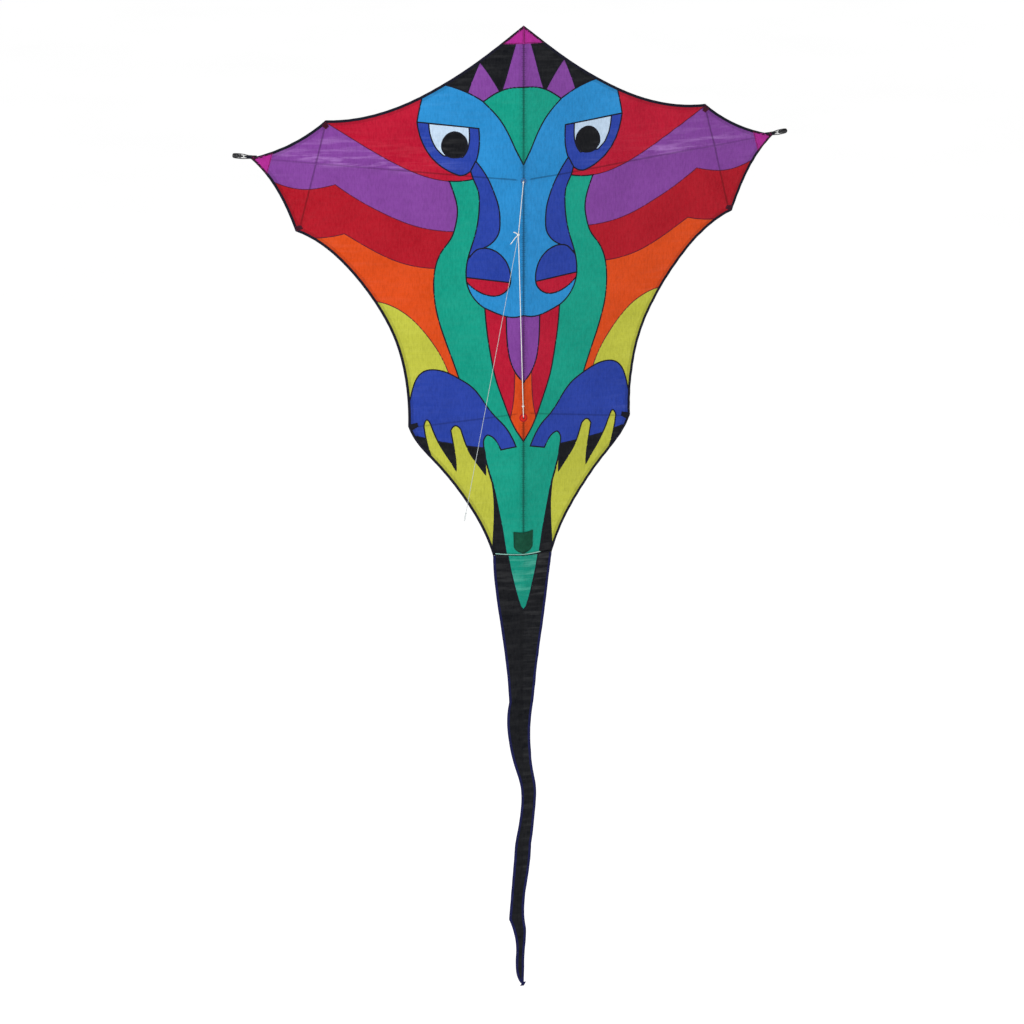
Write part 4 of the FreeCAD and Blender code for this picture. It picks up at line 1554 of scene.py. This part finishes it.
def pouch(start, axis, reach, rod_r, half, out):
    """A folded webbing pocket: round where the rod goes in, pressed flat at the far end."""
    axis = np.array(axis) / np.linalg.norm(axis)
    out = np.array(out) - axis * np.dot(out, axis)
    out /= np.linalg.norm(out)
    across = np.cross(axis, out)
    points, uv = [], []
    rows, sides = 15, 28
    for k in range(rows):
        t = k / (rows - 1)
        high = (rod_r + 1.3 * MM) * (1 - smooth((t - 0.55) / 0.45)) + 0.7 * MM * smooth(
            (t - 0.55) / 0.45)
        wide = half * (0.86 + 0.14 * smooth(t / 0.3))
        drop = (rod_r + 1.3 * MM - high) * 0.9
        centre = np.array(start) + axis * reach * t - out * drop
        for j in range(sides):
            turn = 2 * math.pi * j / sides
            c, s = math.cos(turn), math.sin(turn)
            w = wide * math.copysign(abs(c) ** 0.8, c)
            h = high * math.copysign(abs(s) ** 1.15, s)
            points.append(centre + across * w + out * h)
            uv.append((turn * half, reach * t))
    faces = grid_faces(rows, sides) + [last_cap(rows, sides)]
    return np.array(points), faces, np.array(uv)


def add_pockets(side):
    wing_out = (math.sin(DIHEDRAL) * -side, math.cos(DIHEDRAL), 0)
    pieces = []
    start, axis, length = arm_frame("batten", side)
    pieces.append(pouch(start + axis * 20 * MM, -axis, 25 * MM, 1.5 * MM, 6 * MM, wing_out))
    pieces.append(pouch(start + axis * (length - 20 * MM), axis, 25 * MM, 1.5 * MM, 6 * MM,
                        wing_out))
    start, axis, length = arm_frame("lower_spreader", side)
    pieces.append(pouch(start + axis * (length - 20 * MM), axis, 25 * MM, 2 * MM, 7 * MM,
                        wing_out))
    obj = build(prefix_of(side) + "rod_pockets", *gather(pieces), POCKET)
    dress(obj, "webbing", wing_of(side), prefix_of(side) + "corner_pockets")


def add_tip(side):
    """Split nock on the spreader's end, with the shock cord's loop from the sail's corner."""
    start, axis, _ = arm_frame("upper_spreader", side)
    low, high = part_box(prefix_of(side) + "tip_fitting")
    tip_x = high.x if side > 0 else low.x
    reach = (tip_x - start[0]) / axis[0]
    out = np.array((math.sin(DIHEDRAL) * -side, math.cos(DIHEDRAL), 0.0))
    out -= axis * np.dot(out, axis)
    out /= np.linalg.norm(out)
    up = np.cross(axis, out)
    up = up if up[2] > 0 else -up
    end = start + axis * reach

    def at(x, y, z):
        return end + axis * x * MM + out * y * MM + up * z * MM

    add_nock(side, at)
    strap = build(prefix_of(side) + "tip_strap", *pouch(at(-35, 0, 0), -axis, 25 * MM, 2.6 * MM,
                                                        4.4 * MM, -out), POCKET)
    dress(strap, "webbing", wing_of(side), prefix_of(side) + "corner_pockets")
    add_tip_cord(side, at, axis)


# distance along the rod from its end and radius, in millimetres
NOCK_BARREL = ((-22.2, 2.7), (-22, 3.7), (-21, 4.1), (-17, 4.2), (-16.6, 3.8), (-15.4, 3.8),
               (-15, 4.2), (-8.2, 4.2), (-7.9, 3.6))
NOCK_JAW = ((-8.4, 4.1), (-3, 4.15), (-1.2, 4.0), (-0.3, 3.4), (0, 2.6))
JAW_GAP = 1.3


def turned(at, profile, angles_at, sides, face=1):
    """Rings of a turned piece, or of part of one, closed at its outer end."""
    rows = [[at(x, face * r * math.cos(t), r * math.sin(t)) for t in angles_at(r)]
            for x, r in profile]
    points = np.array(rows).reshape(-1, 3)
    faces = grid_faces(len(rows), sides) + [last_cap(len(rows), sides)]
    return points, faces, points[:, :2].copy()


def add_nock(side, at):
    """Moulded cap on the spreader's end, split into two jaws for the shock cord."""
    pieces = [turned(at, NOCK_BARREL,
                     lambda r: np.linspace(0, 2 * math.pi, 24, endpoint=False), 24)]
    for face in (1, -1):
        pieces.append(turned(at, NOCK_JAW, jaw_angles, 13, face))
    nock = build(prefix_of(side) + "tip_nock", *gather(pieces), VINYL)
    dress(nock, "vinyl", wing_of(side), prefix_of(side) + "tip_fitting")


def jaw_angles(radius):
    half = math.acos(min(0.999, JAW_GAP / radius))
    return np.linspace(-half, half, 13)


# half of the shock cord's route: along the rod, behind it and beside it, in millimetres
CORD_ROUTE = ((-54, -3.1, 2.2), (-40, -2.4, 3.6), (-26, -1.2, 5.4), (-12, -0.3, 5.6),
              (-3.0, 0, 4.6), (-1.6, 0, 2.6))


def add_tip_cord(side, at, axis):
    """Shock cord looped over the nock from the sail's corner, with its knot."""
    there = [at(*place) for place in CORD_ROUTE]
    back = [at(x, y, -z) for x, y, z in reversed(CORD_ROUTE)]
    loop = tube(curved([*there, at(-1.4, 0, 0), *back], 90), 1.2 * MM)
    knot = overhand(at(-28, -2.0, 0), 3.6 * MM, 1.1 * MM, axis)
    for name, piece, material in (("tip_shock_cord", loop, BLACK_CORD),
                                  ("tip_cord_knot", knot, BUNGEE)):
        obj = build(prefix_of(side) + name, *piece, material)
        dress(obj, "bridle_cord", wing_of(side), prefix_of(side) + "tip_fitting")


def add_nose_cup():
    low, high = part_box("nose_pocket")
    start = np.array([0, SPINE_Y, low.z])
    points, faces, uv = pouch(start, (0, 0, 1), high.z - low.z + 2 * MM, 4.0 * MM, 8 * MM,
                              (0, 1, 0))
    cup = build("nose_webbing_cup", points, faces, uv, POCKET)
    dress(cup, "webbing", ROOT, "nose_pocket")


def add_strap():
    """Strap that turns round the spine's foot and presses shut behind it."""
    low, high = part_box("pocket_flap")
    foot, top = low.z + 0.4 * MM, high.z
    front, back = low.y, high.y - 0.4 * MM
    path = [(front, foot), (back - 4 * MM, foot)]
    for k in range(1, 8):
        turn = math.radians(90 * k / 8)
        path.append((back - 4 * MM + 4 * MM * math.sin(turn),
                     foot + 4 * MM - 4 * MM * math.cos(turn)))
    path += [(back, foot + 4 * MM + (top - foot - 4 * MM) * k / 12) for k in range(13)]
    path = np.array(path)
    normal = across_line(path)
    half, thick = high.x - 0.2 * MM, 0.38 * MM
    section = [(-half, -thick), (-half, thick), (-half * 0.5, thick * 1.1), (0, thick * 1.15),
               (half * 0.5, thick * 1.1), (half, thick), (half, -thick), (0, -thick)]
    points, uv = [], []
    arc = arc_of(path)
    for (y, z), n, a in zip(path, normal, arc):
        for x, h in section:
            points.append((x, y + n[0] * h, z + n[1] * h))
            uv.append((x, a))
    wide = len(section)
    faces = grid_faces(len(path), wide) + [first_cap(wide), last_cap(len(path), wide)]
    strap = build("spine_pocket_strap", np.array(points), faces, np.array(uv), POCKET)
    dress(strap, "webbing", "pocket_flap", "pocket_flap")


# ---- the frame's own nodes that stay in view ---------------------------------------------------
def finish_frame():
    finishes = {"spine_upper": CARBON, "spine_lower": CARBON, "spine_ferrule": METAL,
                "spine_caps": VINYL, "spreader_hub": MOULDED, "lower_hub": MOULDED,
                "stopper_rings": RUBBER}
    for prefix in ("left_", "right_"):
        finishes[prefix + "upper_spreader"] = CARBON
        finishes[prefix + "lower_spreader"] = CARBON
        finishes[prefix + "batten"] = GLASS_ROD
        finishes[prefix + "spreader_sleeves"] = VINYL
    for name, material in finishes.items():
        node = NODES[name]
        if not node.material_slots:
            node.data.materials.append(None)
        for slot in node.material_slots:
            slot.link = "OBJECT"
            slot.material = material


add_lines()
for side in (1, -1):
    add_panels(side)
    add_seams(side)
    add_binding(side)
    add_corner_patches(side)
    add_pockets(side)
    add_tip(side)
add_tail()
add_centre()
add_nose_cup()
add_strap()
finish_frame()

# ---- floor, light ------------------------------------------------------------------------------
def add_floor():
    g = Graph("studio_floor")
    at = g.node("TexCoord").outputs["Object"]
    tone = g.ramp(g.noise(at, 1.5, 3.0), 0.3, 0.7)
    colour = g.mix(tone, (0.32, 0.32, 0.32, 1), (0.36, 0.36, 0.36, 1))
    shader = g.node("BsdfPrincipled", in_Base_Color=colour, in_Roughness=0.9)
    shader.inputs["Emission Color"].default_value = (1, 1, 1, 1)
    shader.inputs["Emission Strength"].default_value = 0.86
    floor_z = CAD_BOX[0][2] - 0.35
    mesh = bpy.data.meshes.new("floor")
    far = 60.0
    mesh.from_pydata([(x * far, y * far, floor_z) for x, y in
                      ((-1, -1), (1, -1), (1, 1), (-1, 1))], [], [(0, 1, 2, 3)])
    floor = link("floor", mesh, g.finish(shader.outputs[0]))


# name, place, side of the square and power
LIGHTS = (
    ("key", (-4.2, -3.2, 3.4), 1.0, 255),
    ("fill", (3.6, -5.5, 1.4), 3.0, 46),
    ("back", (0.5, 4.5, 2.0), 3.0, 60),
)


def add_light(name, place, target, size, watts):
    data = bpy.data.lights.new(name, "AREA")
    data.shape = "SQUARE"
    data.size = size
    data.energy = watts
    lamp = bpy.data.objects.new(name, data)
    bpy.context.scene.collection.objects.link(lamp)
    lamp.location = place
    aim(lamp, target)


def add_studio():
    add_floor()
    for name, place, size, watts in LIGHTS:
        add_light(name, place, (0, 0, -0.6), size, watts)
    world = bpy.data.worlds.new("studio")
    bpy.context.scene.world = world
    world.use_nodes = True
    world.node_tree.nodes["Background"].inputs[0].default_value = (1, 1, 1, 1)
    world.node_tree.nodes["Background"].inputs[1].default_value = 0.36
    bpy.context.scene.view_settings.view_transform = "Standard"


add_studio()
